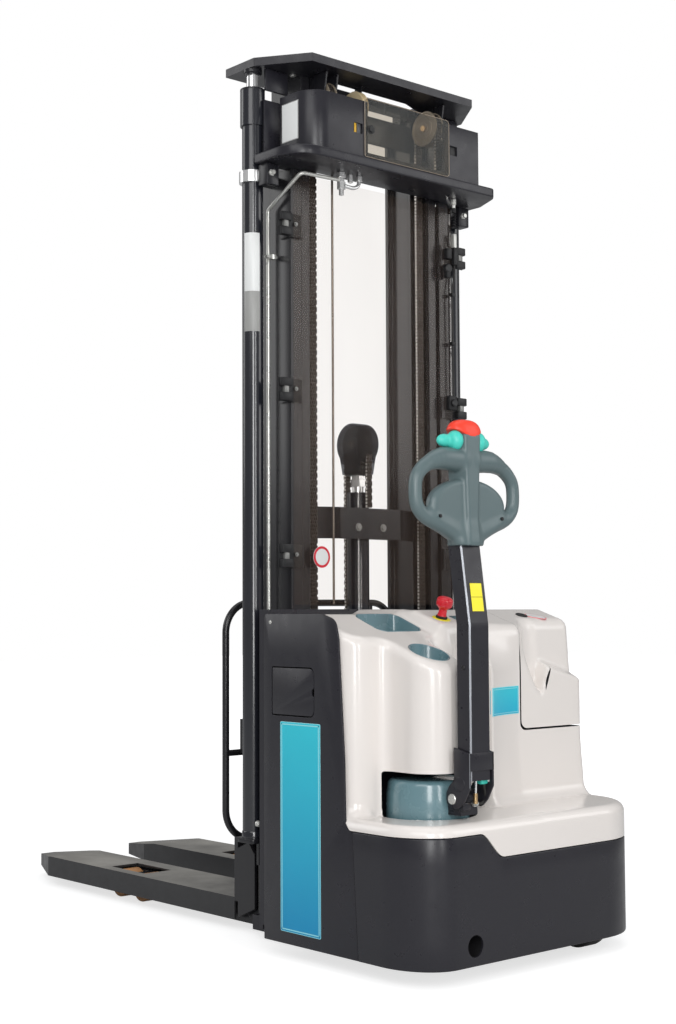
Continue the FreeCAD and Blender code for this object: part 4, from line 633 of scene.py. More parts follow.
def carve(target, *tools, operation="DIFFERENCE"):   # boolean with each tool in turn
    made = bpy.data.objects.new("carved", target)
    bpy.context.scene.collection.objects.link(made)
    helpers = []
    for tool in tools:
        helper = bpy.data.objects.new("tool", tool)
        bpy.context.scene.collection.objects.link(helper)
        step = made.modifiers.new("cut", "BOOLEAN")
        step.operation, step.solver, step.material_mode = operation, "MANIFOLD", "TRANSFER"
        step.object = helper
        helpers.append(helper)
    bpy.context.view_layer.update()
    result = bpy.data.meshes.new_from_object(made.evaluated_get(bpy.context.evaluated_depsgraph_get()))
    for used in [made, *helpers]:
        bpy.data.objects.remove(used)
    return result


# ---- hood, deck and battery lid: one moulding, cut where its pieces part

hood = {
    "side": 0.4005, "lidSide": 0.4075, "front": -0.4405, "rear": -0.755, "wall": 0.0045, "cell": 0.0062,
    "chamferFrom": -0.728, "chamferTo": -0.35, "chamferRound": 0.03, "ridge": 0.012,
    "top": 0.84, "slopeFrom": -0.6, "slope": 0.385, "topRound": 0.02,
    "boss": (-0.225, -0.84), "bossRadius": 0.072, "bossFillet": 0.03,
    "raisedLeft": -0.1, "raisedTop": 0.85, "raisedFall": 0.33, "raisedFallFrom": -0.64, "raisedRound": 0.02,
    "swellLeft": 0.01, "swellRight": 0.155, "swell": 0.062, "swellFade": (0.815, 0.69),
    "lidLeft": 0.1625, "lidLow": 0.5425, "lidGap": 0.0025, "lidProud": 0.019, "draft": 0.011,
    "lidStep": 0.034, "lidCorner": 0.02,
    "deckTop": 0.362, "deckRound": 0.024, "deckFillet": 0.034,
    "pocket": (-0.312, -0.008, 0.468), "deckHole": 0.118,
    "seamLeft": 0.336, "seamRight": 0.277, "seamFrom": -0.226, "seamTo": -0.146, "seamGap": 0.001,
    "trayHole": ((-0.264, -0.711), (-0.116, -0.599), 0.026), "cupHole": ((-0.225, -0.835), 0.0503),
    "stopHole": ((-0.054, -0.705), 0.0225), "hatchHole": ((-0.635, 0.582), (-0.455, 0.722), 0.01),
    "dome": (-0.2, -0.8), "panelFace": 0.4008, "low": 0.262, "half": 0.409, "open": -0.425,
}
rearPlan = {"left": (0.3, 0.86), "leftReach": (0.109, 0.1395), "leftScale": 0.118,
    "right": (0.231, 0.8215), "rightReach": 0.178}


def plan(x, y):   # rounded outline of the truck's rear, shared by the deck and the skirt
    (leftX, leftY), (rightX, rightY) = rearPlan["left"], rearPlan["right"]
    (wide, deep), reach = rearPlan["leftReach"], rearPlan["rightReach"]
    left = (np.hypot(np.maximum(-x - leftX, 0) / wide, np.maximum(-y - leftY, 0) / deep) - 1)
    right = (np.hypot(np.maximum(x - rightX, 0) / reach, np.maximum(-y - rightY, 0) / reach) - 1)
    return np.where(x < 0, left * rearPlan["leftScale"], right * reach)


def lidStepHeight(x):   # where the lid's thicker lower half begins; it dips to the finger slot
    left = 0.735 - 0.095 * ease(x, 0.18, 0.25)
    right = 0.706 - 0.28 * (x - 0.28)
    return left + (right - left) * ease(x, 0.248, 0.27)


def seamHeight(x):   # top of the skirt under the deck, lower on the right
    low, high = hood["seamRight"], hood["seamLeft"]
    return low + (high - low) * ease(x, hood["seamTo"], hood["seamFrom"])


def rearFace(x, z, inner=False):
    look = hood
    rise = np.clip((look["swellRight"] - x) / (look["swellRight"] - look["swellLeft"]), 0, 1)
    swell = look["swell"] * rise ** 1.35 * ease(x, look["swellLeft"] - 0.014, look["swellLeft"] + 0.004)
    swell = swell * ease(z, *look["swellFade"])
    step = lidStepHeight(x)
    onLid = ease(x, look["lidLeft"] - 0.01, look["lidLeft"] + 0.06)
    soft = 0.012 + 0.036 * ease(x, 0.256, 0.19)
    back = look["lidStep"] * ease(z, step - soft, step + soft) + np.maximum(z - step, 0) * 0.08
    if inner:   # the lid's lower half is thick
        back = (look["lidStep"] + 0.014) * ease(z, look["lidLow"] + 0.004, look["lidLow"] + 0.016)
    proud = look["lidProud"] + look["draft"] * ease(z, look["lidLow"], look["deckTop"])
    return look["rear"] - swell - proud * ease(x, -0.02, 0.16) + onLid * back


def towerField(x, y, z, inner=False):
    look = hood
    left = -x - look["side"]
    rear = look["rear"] - y
    turn = math.atan2(look["chamferFrom"] - look["rear"], look["side"] + look["chamferTo"])
    chamfer = -(x + look["side"]) * math.sin(turn) - (y - look["chamferFrom"]) * math.cos(turn)
    column = within(within(left, chamfer, look["chamferRound"]), rear, look["ridge"])
    column = np.maximum(column, x - look["raisedLeft"] - 0.02)
    bossX, bossY = look["boss"]
    boss = np.hypot(x - bossX, np.minimum(y - bossY, 0)) - look["bossRadius"]
    column = joined(column, boss, look["bossFillet"])
    fall = z - look["top"] + np.maximum(look["slopeFrom"] - y, 0) * look["slope"]
    column = within(column, fall * 0.94, look["topRound"])
    right = look["side"] + (look["lidSide"] - look["side"]) * ease(y, -0.7, -0.722)
    top = z - look["raisedTop"] + np.maximum(look["raisedFallFrom"] - y, 0) * look["raisedFall"]
    raised = within(rearFace(x, z, inner) - y, top, 0.022)
    raised = within(raised, np.maximum(look["raisedLeft"] - x, x - right), look["raisedRound"])
    return joined(column, raised, 0.026)


def hoodField(x, y, z, inner=False):
    look = hood
    deck = within(plan(x, y), z - look["deckTop"], look["deckRound"])
    beside = 1 - 0.85 * ease(x, -0.35, -0.322) * ease(x, 0.022, -0.004)   # the fillet fades under the pocket
    whole = joined(towerField(x, y, z, inner), deck, look["deckFillet"] * beside)
    whole = np.maximum(whole, np.maximum(np.abs(x) - look["half"], look["low"] - z))
    return np.maximum(whole, y - look["open"])


def hoodInner(x, y, z):
    return hoodField(x, y, z, True) + hood["wall"]


def makeHood():
    look = hood
    low, high = (-0.42, -1.01, 0.25), (0.42, -0.41, 0.87)
    skin = sculpt(hoodField, low, high, look["cell"], 4, "cream")
    # the inner skin is near-black: painted shade where the inside shows through the pocket
    inner = sculpt(hoodInner, low, high, look["cell"] * 1.6, 3, "mouldBack")
    print("hood skins:", len(skin.polygons), "and", len(inner.polygons), "faces")
    pocketLeft, pocketRight, pocketTop = look["pocket"]
    gap = look["lidGap"]
    start, length = look["seamFrom"], look["seamTo"] - look["seamFrom"]
    across = [-0.5] + [start + length * k / 16 for k in range(17)] + [0.5]
    seam = [(-0.5, 0.2)] + [(x, float(seamHeight(x)) + look["seamGap"]) for x in across] + [(0.5, 0.2)]
    panelEdge = [(-0.38, 0.2), (-0.38, 0.9), (-0.712, 0.9), (-0.715, 0.783), (-0.734, 0.499), (-0.737, 0.353),
        (-0.752, 0.338, 0.02), (-0.762, 0.335), (-0.762, 0.2)]
    rightEdge = [(-0.38, 0.2), (-0.38, 0.9), (-0.68, 0.9), (-0.686, 0.7), (-0.73, 0.56)] + panelEdge[4:]
    pocket = roundCorners([(pocketLeft, look["deckTop"], 0.02), (pocketRight, look["deckTop"], 0),
        (pocketRight, pocketTop, 0), (pocketLeft, pocketTop, 0.006)], 0)
    tools = [
        cutter(seam, "Y", -1.1, -0.3),
        cutter([(-0.5, look["front"]), (0.5, look["front"]), (0.5, -0.3), (-0.5, -0.3)], "Z", 0.1, 1.0),
        cutter(roundCorners(panelEdge, 0), "X", -0.5, -look["panelFace"]),
        cutter(roundCorners(rightEdge, 0), "X", look["panelFace"], 0.5),
        cutter(pocket, "Y", -0.96, -0.668),
        cutter(ring(look["dome"], look["deckHole"]), "Z", 0.3, 0.45),
        cutter(softRect(*look["trayHole"]), "Z", 0.7, 0.9),
        cutter(ring(*look["cupHole"]), "Z", 0.66, 0.9),
        cutter(ring(*look["stopHole"]), "Z", 0.79, 0.9),
        cutter(softRect(*look["hatchHole"]), "X", -0.45, -0.27),
    ]
    shell = carve(skin, inner, *tools)
    left, low = look["lidLeft"], look["lidLow"]
    lidOutline = roundCorners([(left, low, look["lidCorner"]), (0.6, low, 0), (0.6, 1.0, 0), (left, 1.0, 0),
        (left, 0.765, 0), (left, 0.73, 0)], 0)
    wide, narrow = [[(x + way * (gap if z < 0.75 else 0.0004) if x < 0.5 else x,
        z + way * gap if z < 0.73 else z) for x, z in lidOutline] for way in (-1, 1)]
    parting = [cutter(outline, "Y", -1.1, -0.3, "mouldBack") for outline in (narrow, wide)]
    lid = carve(shell, parting[0], operation="INTERSECT")
    shell = carve(shell, parting[1])
    lens = [(0.261 + 0.023 * (k / 8) ** 1.6 + side * 0.005 * math.sin(math.pi * k / 8), 0.638 + 0.064 * k / 8)
        for side, order in ((1, range(9)), (-1, range(7, 0, -1))) for k in order]
    # the finger slot's walls are near-black: painted shade
    lid = carve(lid, cutter(lens, "Y", -0.86, -0.6, "mouldBack"))
    made = addMesh("hoodShell", shell, "chassis", 38)
    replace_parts(made, "hood_tower", "rear_deck")
    up = (0, -0.313, 0.95)
    plug = [turned([(0.0165, -0.002), (0.0165, 0.0016), (0.015, 0.0026), (0.0125, 0.0014), (0.006, 0.0008),
        (0, 0.0008)], (0.2645, -0.688, 0.834), up, 28, "blackPlastic")]
    tilt = Matrix.Translation((0.307, -0.7, 0.8313)) @ Matrix.Rotation(math.radians(18.3), 4, "X") \
        @ Matrix.Rotation(math.radians(-30), 4, "Z")
    for inset, finish in ((0.0, "paleRed"), (0.0028, "blankWhite")):
        film = plate(softRect((inset - 0.03, inset - 0.015), (0.03 - inset, 0.015 - inset), 0.013 - inset),
            "Z", -0.0015, 0.0004 + inset * 0.15, 0, finish)
        film.transform(tilt)
        plug.append(film)
    cover = addMesh("batteryLid", [lid, *plug], "battery_lid", 38)
    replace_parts(cover, "battery_lid")


makeHood()


# ---- skirt, side panels, hatch and their labels

panels = {
    "outer": 0.407, "inner": 0.401, "low": 0.04, "front": -0.43, "edge": 0.0018,
    "rear": [(-0.779, 0.04), (-0.76, 0.331), (-0.752, 0.337, 0.012), (-0.735, 0.353, 0.02), (-0.732, 0.499),
        (-0.713, 0.783, 0.03), (-0.702, 0.828, 0.03), (-0.655, 0.842, 0.04)],
    "rightRear": [(-0.779, 0.04), (-0.76, 0.331), (-0.752, 0.337, 0.012), (-0.735, 0.353, 0.02),
        (-0.729, 0.562, 0.03), (-0.684, 0.702, 0.03), (-0.678, 0.806, 0.03), (-0.63, 0.842, 0.04)],
    "hatch": ((-0.6225, 0.5945), (-0.4645, 0.7095)), "hatchGap": 0.0028, "hatchCorner": 0.014,
    "hingeCorner": 0.004,
    "notch": 0.01, "label": ((-0.647, 0.07), (-0.496, 0.578)), "labelLine": 0.0028, "labelInset": 0.006,
    "bulgeLabel": ((0.004, 0.584), (0.155, 0.655)),
}
skirt = {"low": 0.04, "wall": 0.006, "half": 0.409, "rear": 0.9995,
    "corners": ((-1, 0.3, 0.86), (1, 0.231, 0.8215)), "edge": 0.003, "gap": 0.003, "towX": -0.245,
    "towZ": 0.086, "towRadius": 0.025, "towDepth": 0.06}


def panelOutline(side):
    look = panels
    return roundCorners([(look["front"], look["low"])] + look[side] + [(look["front"], 0.842, 0.012)], 0.0)


def labelPlate(low, high, x, finish):
    line, inset = panels["labelLine"], panels["labelInset"]
    parts = [plate(softRect(low, high, 0.004, 4), "X", x - 0.0005, x, 0.0, "labelEdge"),
        plate(softRect((low[0] + 0.0015, low[1] + 0.0015), (high[0] - 0.0015, high[1] - 0.0015), 0.003, 4),
        "X", x - 0.0007, x, 0.0, finish)]
    ends = (low[0] + inset, high[0] - inset), (low[1] + inset, high[1] - inset)
    for y in ends[0]:
        parts.append(block((x - 0.0009, y - line / 2, ends[1][0] - line / 2),
            (x, y + line / 2, ends[1][1] + line / 2), 0, "labelEdge"))
    for z in ends[1]:
        parts.append(block((x - 0.0009, ends[0][0] - line / 2, z - line / 2),
            (x, ends[0][1] + line / 2, z + line / 2), 0, "labelEdge"))
    return parts


def makePanels():
    look = panels
    low, high = look["hatch"]
    gap = look["hatchGap"]
    wide = look["hatchCorner"] + gap
    hole = cutter(roundCorners([(low[0] - gap, low[1] - gap, wide),
        (high[0] + gap, low[1] - gap, look["hingeCorner"]),
        (high[0] + gap, high[1] + gap, look["hingeCorner"]), (low[0] - gap, high[1] + gap, wide)], 0),
        "X", -0.42, -0.39)
    left = carve(plate(panelOutline("rear"), "X", -look["outer"], -look["inner"], look["edge"],
        "charcoalPaint"), hole)
    right = plate(panelOutline("rightRear"), "X", look["inner"], look["outer"], look["edge"], "charcoalPaint")
    left = together(left, *labelPlate(*look["label"], -look["outer"], "blueLabel"))
    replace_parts(addMesh("leftPanel", left, "chassis", 34), "side_panel_left")
    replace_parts(addMesh("rightPanel", right, "chassis", 34), "side_panel_right")
    middle = (low[1] + high[1]) / 2
    door = roundCorners([(low[0], low[1], look["hatchCorner"]), (high[0], low[1], look["hingeCorner"]),
        (high[0], high[1], look["hingeCorner"]), (low[0], high[1], look["hatchCorner"]),
        (low[0], middle + look["notch"], 0.003), (low[0] + look["notch"] * 0.8, middle + 0.006, 0.005),
        (low[0] + look["notch"] * 0.8, middle - 0.006, 0.005), (low[0], middle - look["notch"], 0.003)],
        0.003)
    made = plate(door, "X", -look["outer"], -look["inner"], 0.0012, "charcoalPaint")
    rib = block((-look["inner"] - 0.0002, low[0] + 0.02, low[1] + 0.02),
        (-look["inner"] + 0.0008, high[0] - 0.02, high[1] - 0.02), 0.0004, "mouldBack")
    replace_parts(addMesh("hatchDoor", [made, rib], "hatch_door", 34), "hatch_door")


def makeBulgeLabel():
    (left, low), (right, high) = panels["bulgeLabel"]
    parts = []
    for inset, proud, finish in ((0.0, 0.0006, "labelEdge"), (0.0015, 0.0009, "bulgeLabel"),
            (0.0045, 0.0011, "labelEdge"), (0.006, 0.0013, "bulgeLabel")):
        across = np.linspace(left + inset, right - inset, 15)
        rings = []
        for back in (0.0, proud):
            rings.append([[(x, float(rearFace(x, z)) - back, z) for x in across]
                for z in np.linspace(low + inset, high - inset, 5)])
        outer = [p for row in rings[1] for p in row]
        faces = [(r * 15 + k, r * 15 + k + 1, r * 15 + k + 16, r * 15 + k + 15) for r in range(4)
            for k in range(14)]
        inner = [p for row in rings[0] for p in row]
        count = len(outer)
        border = list(range(15)) + [15 * r + 14 for r in range(1, 5)] + [60 + k for k in range(13, -1, -1)] \
            + [15 * r for r in range(3, 0, -1)]
        faces += [tuple(count + k for k in reversed(face)) for face in faces]
        faces += [(border[k], border[(k + 1) % len(border)], count + border[(k + 1) % len(border)],
            count + border[k]) for k in range(len(border))]
        parts.append(meshFrom(outer + inner, faces, finish))
    addMesh("bulgeLabel", parts, "chassis", 34)


def makeSkirt():
    look = skirt
    columns = []   # (x, y) round the rear from the left front; a straight side gives its share of the way
    for way, cornerX, cornerY in look["corners"]:
        half = [(way * look["half"], k / 4) for k in range(4)]
        for k in range(15):
            turn = math.pi / 2 * k / 14
            half.append((way * (cornerX + (look["half"] - cornerX) * math.cos(turn)),
                -cornerY - (look["rear"] - cornerY) * math.sin(turn)))
        if way < 0:
            columns = half + [(x, -look["rear"]) for x in [-0.27, -0.245]
                + [hood["seamFrom"] + 0.005 * k for k in range(17)] + [0, 0.12]]
        else:
            columns += half[::-1]
    total = len(columns)
    rings = []
    edge = look["edge"]
    for row in range(10):
        outer, inner = [], []
        for i, (x, y) in enumerate(columns):
            top = float(seamHeight(x)) - hood["seamGap"]
            z = [look["low"], look["low"] + edge * 0.3, look["low"] + edge][row] if row < 3 else \
                [top - edge, top - edge * 0.3, top][row - 7] if row > 6 else \
                look["low"] + edge + (top - look["low"] - 2 * edge) * (row - 2) / 5
            inset = [edge, edge * 0.3, 0, 0, 0, 0, 0, 0, edge * 0.3, edge][row]
            way, cornerX, cornerY = look["corners"][0 if x < 0 else 1]
            front = -0.7605 - 0.065 * (0.332 - z) - look["gap"]
            share = y if i < 4 or i >= total - 4 else None
            if share is not None:
                y = front + (-cornerY - front) * share
            nx = max(abs(x) - cornerX, 0) / (look["half"] - cornerX) ** 2
            ny = max(-y - cornerY, 0) / (look["rear"] - cornerY) ** 2
            size = math.hypot(nx, ny) or 1
            nx, ny = math.copysign(nx / size, x), -ny / size
            outer.append((x - nx * inset, y - ny * inset, z))
            inner.append((x - nx * look["wall"], y - ny * look["wall"], z))
        rings.append(outer + inner[::-1])
    count = len(rings[0])
    vertices = [p for one in rings for p in one]
    faces = bands(len(rings), count)
    for base in (0, (len(rings) - 1) * count):
        faces += [(base + i, base + i + 1, base + count - 2 - i, base + count - 1 - i)
            for i in range(total - 1)]
    mesh = meshFrom(vertices, faces, "charcoalPaint")
    mesh = carve(mesh, turned([(look["towRadius"], 0), (look["towRadius"], 0.05)],
        (look["towX"], -look["rear"] + 0.03, look["towZ"]), (0, -1, 0), 40))
    radius, deep = look["towRadius"], look["towDepth"]
    cup = turned([(radius + 0.004, 0), (radius + 0.004, deep), (radius + 0.0002, deep),
        (radius + 0.0002, 0.004), (0, 0.004)],
        (look["towX"], -look["rear"] + look["wall"] + deep, look["towZ"]), (0, -1, 0), 40, "blackPlastic")
    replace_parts(addMesh("rearSkirt", [mesh, cup], "chassis", 34), "rear_skirt")


makePanels()
makeBulgeLabel()
makeSkirt()
print("panels and skirt ready")


# ---- tray, cup holder, emergency stop and key panel

controls = {
    "tray": ((-0.263, -0.71), (-0.117, -0.6)), "trayCorner": 0.025, "trayFloor": 0.741, "wall": 0.003,
    "cup": (-0.225, -0.835), "cupRadius": 0.0495, "cupFloor": 0.677, "rim": 0.0012,
    "stop": (-0.054, -0.705, 0.8265), "stopLean": (0, -0.31, 1),
    "dome": (-0.2, -0.8), "domeLow": 0.352, "domeHigh": 0.455, "domeRadius": 0.1,
}


def topHeight(y):   # the hood's sloping top over the tray and the cup
    return hood["top"] - max(hood["slopeFrom"] - y, 0) * hood["slope"]


def bowl(outline, floor, wall, steps):   # outline(inset) gives points; the rim follows the sloping top
    rings = []
    for inset, share in [(wall + 0.004, -0.02), (0.0, 0.05), (0.0, 1.0), (wall * 0.3, 1.01), (wall, 0.99)]:
        low, rim = floor - 0.002, controls["rim"]
        rings.append([(x, y, low + (topHeight(y) + rim - floor) * max(share, 0) if share < 0.9
            else topHeight(y) + rim - (1.01 - share) * 0.05) for x, y in outline(inset)])
    for k in range(steps + 1):
        turn = math.pi / 2 * k / steps
        inset = wall + 0.004 + 0.01 * (1 - math.cos(turn))
        rings.append([(x, y, floor + 0.01 * (1 - math.sin(turn))) for x, y in outline(inset)])
    return lofted(rings, "blueGrey")


def makeHolders():
    look = controls
    low, high = look["tray"]
    tray = bowl(lambda inset: softRect((low[0] + inset, low[1] + inset), (high[0] - inset, high[1] - inset),
        max(look["trayCorner"] - inset, 0.004)), look["trayFloor"], look["wall"], 5)
    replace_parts(addMesh("storageTray", tray, "chassis", 40), "storage_tray")
    cup = bowl(lambda inset: ring(look["cup"], look["cupRadius"] - inset), look["cupFloor"], look["wall"], 5)
    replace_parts(addMesh("cupHolder", cup, "chassis", 40), "cup_holder")


def makeStop():
    look = controls
    at, lean = look["stop"], look["stopLean"]
    disc = [(0, 0), (0.0238, 0), (0.0238, 0.0022), (0.0228, 0.003), (0.014, 0.003), (0, 0.003)]
    collar = [(0.015, 0.002), (0.015, 0.008), (0.0135, 0.0095), (0.0095, 0.0095), (0, 0.0095)]
    knob = [(0, 0.009), (0.0125, 0.009), (0.0105, 0.017), (0.0105, 0.026), (0.015, 0.031), (0.0196, 0.035),
        (0.021, 0.04), (0.021, 0.049), (0.02, 0.053), (0.0165, 0.0565), (0.01, 0.0585), (0, 0.0592)]
    parts = [turned(disc, at, lean, 40, "blankYellow"), turned(collar, at, lean, 32, "blackPlastic"),
        turned(knob, at, lean, 40, "signalRed")]
    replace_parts(addMesh("emergencyStop", parts, "chassis", 40), "emergency_stop")


def makeDome():
    look = controls
    x, y = look["dome"]
    r, low, high = look["domeRadius"], look["domeLow"], look["domeHigh"]
    profile = [(r - 0.004, low), (r, low + 0.001), (r + 0.0005, low + 0.03), (r - 0.001, high - 0.04),
        (r - 0.004, high - 0.022)]
    for k in range(1, 9):
        turn = math.pi / 2 * k / 8
        profile.append((r - 0.004 - 0.014 * (1 - math.cos(turn)), high - 0.022 + 0.016 * math.sin(turn)))
    profile += [(0.05, high - 0.003), (0.0, high - 0.002)]
    dome = turned([(0, low)] + profile, (x, y, 0), (0, 0, 1), 72, "blueGrey")
    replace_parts(addMesh("steeringDome", dome, "drive_unit", 34), "steering_dome")


makeHolders()
makeStop()
makeDome()
print("controls ready")


# ---- tiller: bent box arm on a sleeve with two ears, and the grip head

tiller = {
    "x": -0.2, "half": 0.033, "rear": -0.978, "deep": 0.044, "bend": 0.815, "top": 1.004, "lean": 0.026,
    "low": 0.455, "bevel": (0.0036, 0.003), "sleeveHalf": 0.041, "sleeveWall": 0.005,
    "pivot": (-0.924, 0.411),
    "ear": [(-0.981, 0.519), (-0.93, 0.531), (-0.93, 0.456, 0.01), (-0.913, 0.44, 0.02),
        (-0.905, 0.424, 0.012), (-0.905, 0.4, 0.018), (-0.921, 0.3895, 0.018), (-0.944, 0.3895, 0.018),
        (-0.962, 0.406, 0.02), (-0.981, 0.44, 0.012)],
    "sticker": ((-0.219, 0.846), (-0.179, 0.913)),
    "headY": -0.936, "gripReach": 0.163, "columnTop": 0.025, "columnLow": 0.0145,
}


def armRear(z):
    look = tiller
    return look["rear"] + look["lean"] * max(z - look["bend"], 0) / (1.0 - look["bend"])


def makeArm():
    look = tiller
    x, half, deep = look["x"], look["half"], look["deep"]
    bevelX, bevelY = look["bevel"]
    section = [(-half, deep - 0.002), (-half, bevelY), (-half + bevelX, 0), (half - 0.003, 0), (half, 0.003),
        (half, deep - 0.002), (half - 0.002, deep), (-half + 0.002, deep)]
    rings = []
    for z in (look["low"], 0.6, look["bend"] - 0.008, look["bend"], look["bend"] + 0.008, 0.9, look["top"]):
        rings.append([(x + u, armRear(z) + v, z) for u, v in section])
    beam = lofted(rings, "charcoalPaint")
    beam.materials.append(materials["greyMarkAndPaintedHighlight"])
    for face in beam.polygons:   # the wide bevel on the left rear corner takes a paler finish: a painted highlight
        if face.normal.x < -0.3 and face.normal.y < -0.6 and len(face.vertices) == 4:
            face.material_index = 1
    outer = look["sleeveHalf"]
    ears = [plate(roundCorners(look["ear"], 0.001), "X", x + side * (outer - look["sleeveWall"]),
        x + side * outer, 0.0012, "charcoalPaint") for side in (-1, 1)]
    back = block((x - outer, -0.981, 0.478), (x + outer, -0.9775, 0.519), 0.001, "charcoalPaint")
    # a paler strip along the sleeve's left rear edge: a painted highlight
    edge = plate([(-0.9812, 0.44), (-0.98, 0.44), (-0.98, 0.519), (-0.9812, 0.519)], "X", x - outer,
        x - outer + 0.0022, 0.0, "greyMarkAndPaintedHighlight")
    pivotY, pivotZ = look["pivot"]
    pinLine = [(0, 0), (0.008, 0), (0.008, 0.088), (0, 0.088)]
    headLine = [(0.0125, 0), (0.0125, 0.0016), (0.0112, 0.003), (0.006, 0.0032), (0.0048, 0.0022),
        (0, 0.0022)]
    capLine = [(0.0165, 0), (0.0165, 0.0012), (0.014, 0.0022), (0, 0.0024)]
    screwLine = [(0.0058, 0), (0.0058, 0.0015), (0.0045, 0.0028), (0.002, 0.003), (0, 0.002)]
    sunk = 0.0002   # a fastener starts inside the face it stands on
    pin = turned(pinLine, (x - 0.044, pivotY, pivotZ), (1, 0, 0), 24, "zinc")
    heads = [turned(headLine, (x + side * (outer - sunk), pivotY, pivotZ), (side, 0, 0), 28, "zinc")
        for side in (-1, 1)]
    cap = turned(capLine, (x - outer + sunk, -0.948, 0.447), (-1, 0, 0), 28, "charcoalPaint")
    screw = turned(screwLine, (x - half + sunk, -0.956, 0.716), (-1, 0, 0), 20, "blackPlastic")
    connector = together(block((-0.188, -0.968, 0.444), (-0.166, -0.95, 0.472), 0.003, "turquoise"),
        block((-0.17, -0.97, 0.456), (-0.16, -0.952, 0.47), 0.003, "turquoise"),
        block((-0.167, -0.9705, 0.449), (-0.1615, -0.955, 0.457), 0.002, "blankWhite"),
        peg(0.0035, 0.028, (-0.213, -0.962, 0.452), (0, 0, 1), 14, "zinc"),
        block((-0.222, -0.966, 0.464), (-0.206, -0.95, 0.474), 0.002, "zinc"))
    arm = together(beam, *ears, back, edge, pin, *heads, cap, screw, connector)
    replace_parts(addMesh("tillerArm", arm, "tiller", 32), "tiller_arm")
    (left, low), (right, high) = look["sticker"]
    films = []
    for inset, proud, finish in ((0, 0.0004, "blackPlastic"), (0.0008, 0.0006, "blankYellow")):
        frameLine = [(left + inset, low + inset), (right - inset, low + inset),
            (right - inset, high - inset), (left + inset, high - inset)]
        corners = [(px, armRear(z) - shift, z) for shift in (proud, -0.0005) for px, z in frameLine]
        films.append(meshFrom(corners, [(0, 1, 2, 3), (7, 6, 5, 4)]
            + [(k, (k + 1) % 4, 4 + (k + 1) % 4, 4 + k) for k in range(4)], finish))
    split = block((left + 0.001, armRear(0.88) - 0.0008, 0.8795),
        (right - 0.001, armRear(0.88) + 0.001, 0.8805), 0, "blackPlastic")
    addMesh("tillerSticker", [*films, split], "tiller", 30)


def makeLinkage():   # spring rod and cable from the steering head up into the arm
    lower, upper = (-0.1975, -0.957, 0.4), (-0.1975, -0.96, 0.478)
    rod = together(tube([lower, upper], 0.0028, "chrome", 10),
        tube([lower, (-0.1975, -0.957, 0.424)], 0.0058, "brass", 12))
    cable = tube(bendPath([(-0.176, -0.962, 0.448), (-0.166, -0.958, 0.425), (-0.158, -0.953, 0.408),
        (-0.168, -0.948, 0.396), (-0.186, -0.944, 0.402)], 0.02, 6), 0.0032, "blackRubber", 8)
    for name, mesh in (("springRod", rod), ("headCable", cable)):
        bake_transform(addMesh(name, mesh, None, 40))
    nutLine = [(0.0085, 0), (0.0085, 0.006), (0.005, 0.006), (0.005, 0.012), (0, 0.012)]
    nuts = [turned(nutLine, (px, -0.9395, pz), (0, -1, 0), 6, "zinc")
        for px, pz in ((-0.2215, 0.4285), (-0.185, 0.398))]
    hub = together(block((-0.232, -0.952, 0.384), (-0.206, -0.936, 0.404), 0.004, "charcoalPaint"), *nuts)
    addMesh("steeringBracket", hub, "drive_unit", 32)


def headField(x, y, z):
    look = tiller
    u, v, w = np.abs(x - look["x"]), y - look["headY"], z - 1.0
    reach = look["gripReach"]
    route = [(0.02, 0.202), (0.08, 0.203), (0.122, 0.19), (0.149, 0.171), (reach, 0.147), (reach, 0.102),
        (0.149, 0.077), (0.12, 0.06), (0.062, 0.04), (0.026, 0.026)]
    thick = [0.029, 0.026, 0.018, 0.0165, 0.016, 0.016, 0.0165, 0.0175, 0.0175, 0.017]
    route = [Vector(p) for p in route]   # smoothed: a curve through the points, with its thickness beside it
    ends = [2 * route[0] - route[1]] + route + [2 * route[-1] - route[-2]]
    fine, width = [], []
    for k in range(len(route) - 1):
        a, b, c, d = ends[k:k + 4]
        for t in (0, 0.25, 0.5, 0.75):
            fine.append(b + (c - a) * t / 2 + (2 * a - 5 * b + 4 * c - d) * t * t / 2
                + (3 * b - a - 3 * c + d) * t ** 3 / 2)
            width.append(thick[k] + (thick[k + 1] - thick[k]) * t)
    fine.append(route[-1])
    width.append(thick[-1])
    grip = None
    for (u0, w0), (u1, w1), r0, r1 in zip(fine, fine[1:], width, width[1:]):
        du, dw = u1 - u0, w1 - w0
        t = np.clip(((u - u0) * du + (w - w0) * dw) / (du * du + dw * dw), 0, 1)
        part = np.sqrt((u - u0 - du * t) ** 2 + (w - w0 - dw * t) ** 2 + (v * 1.04) ** 2) \
            - (r0 + (r1 - r0) * t)
        grip = part if grip is None else np.minimum(grip, part)
    lobe = (np.hypot(u / 0.124, np.maximum(w - 0.094, 0) / 0.064) - 1) * 0.075   # apron's rounded shoulders
    edge = (u - 0.048) * 0.547 - (w - 0.012) * 0.837                             # its slanting lower rim
    apron = within(within(lobe, edge, 0.016), np.abs(v + 0.001) - 0.0165, 0.012)
    body = joined(grip, apron, 0.012)
    half = look["columnLow"] + (look["columnTop"] - look["columnLow"]) * np.clip(w / 0.25, 0, 1)
    front = np.maximum(-v - 0.0275, v - 0.02)
    column = within(within((u - half - np.maximum(v + 0.0275, 0) * 0.35) * 0.95, front, 0.004), w - 0.266,
        0.008)
    body = joined(body, column, 0.006)
    slim = 0.013 * ease(w, 0.006, 0.045)   # a funnel that narrows from the arm to the column
    neck = within(within(u - 0.035 + slim, np.abs(v) - 0.0245 + slim * 0.5, 0.01), w - 0.052, 0.012)
    return np.maximum(joined(body, neck, 0.022), -w + 0.0005)


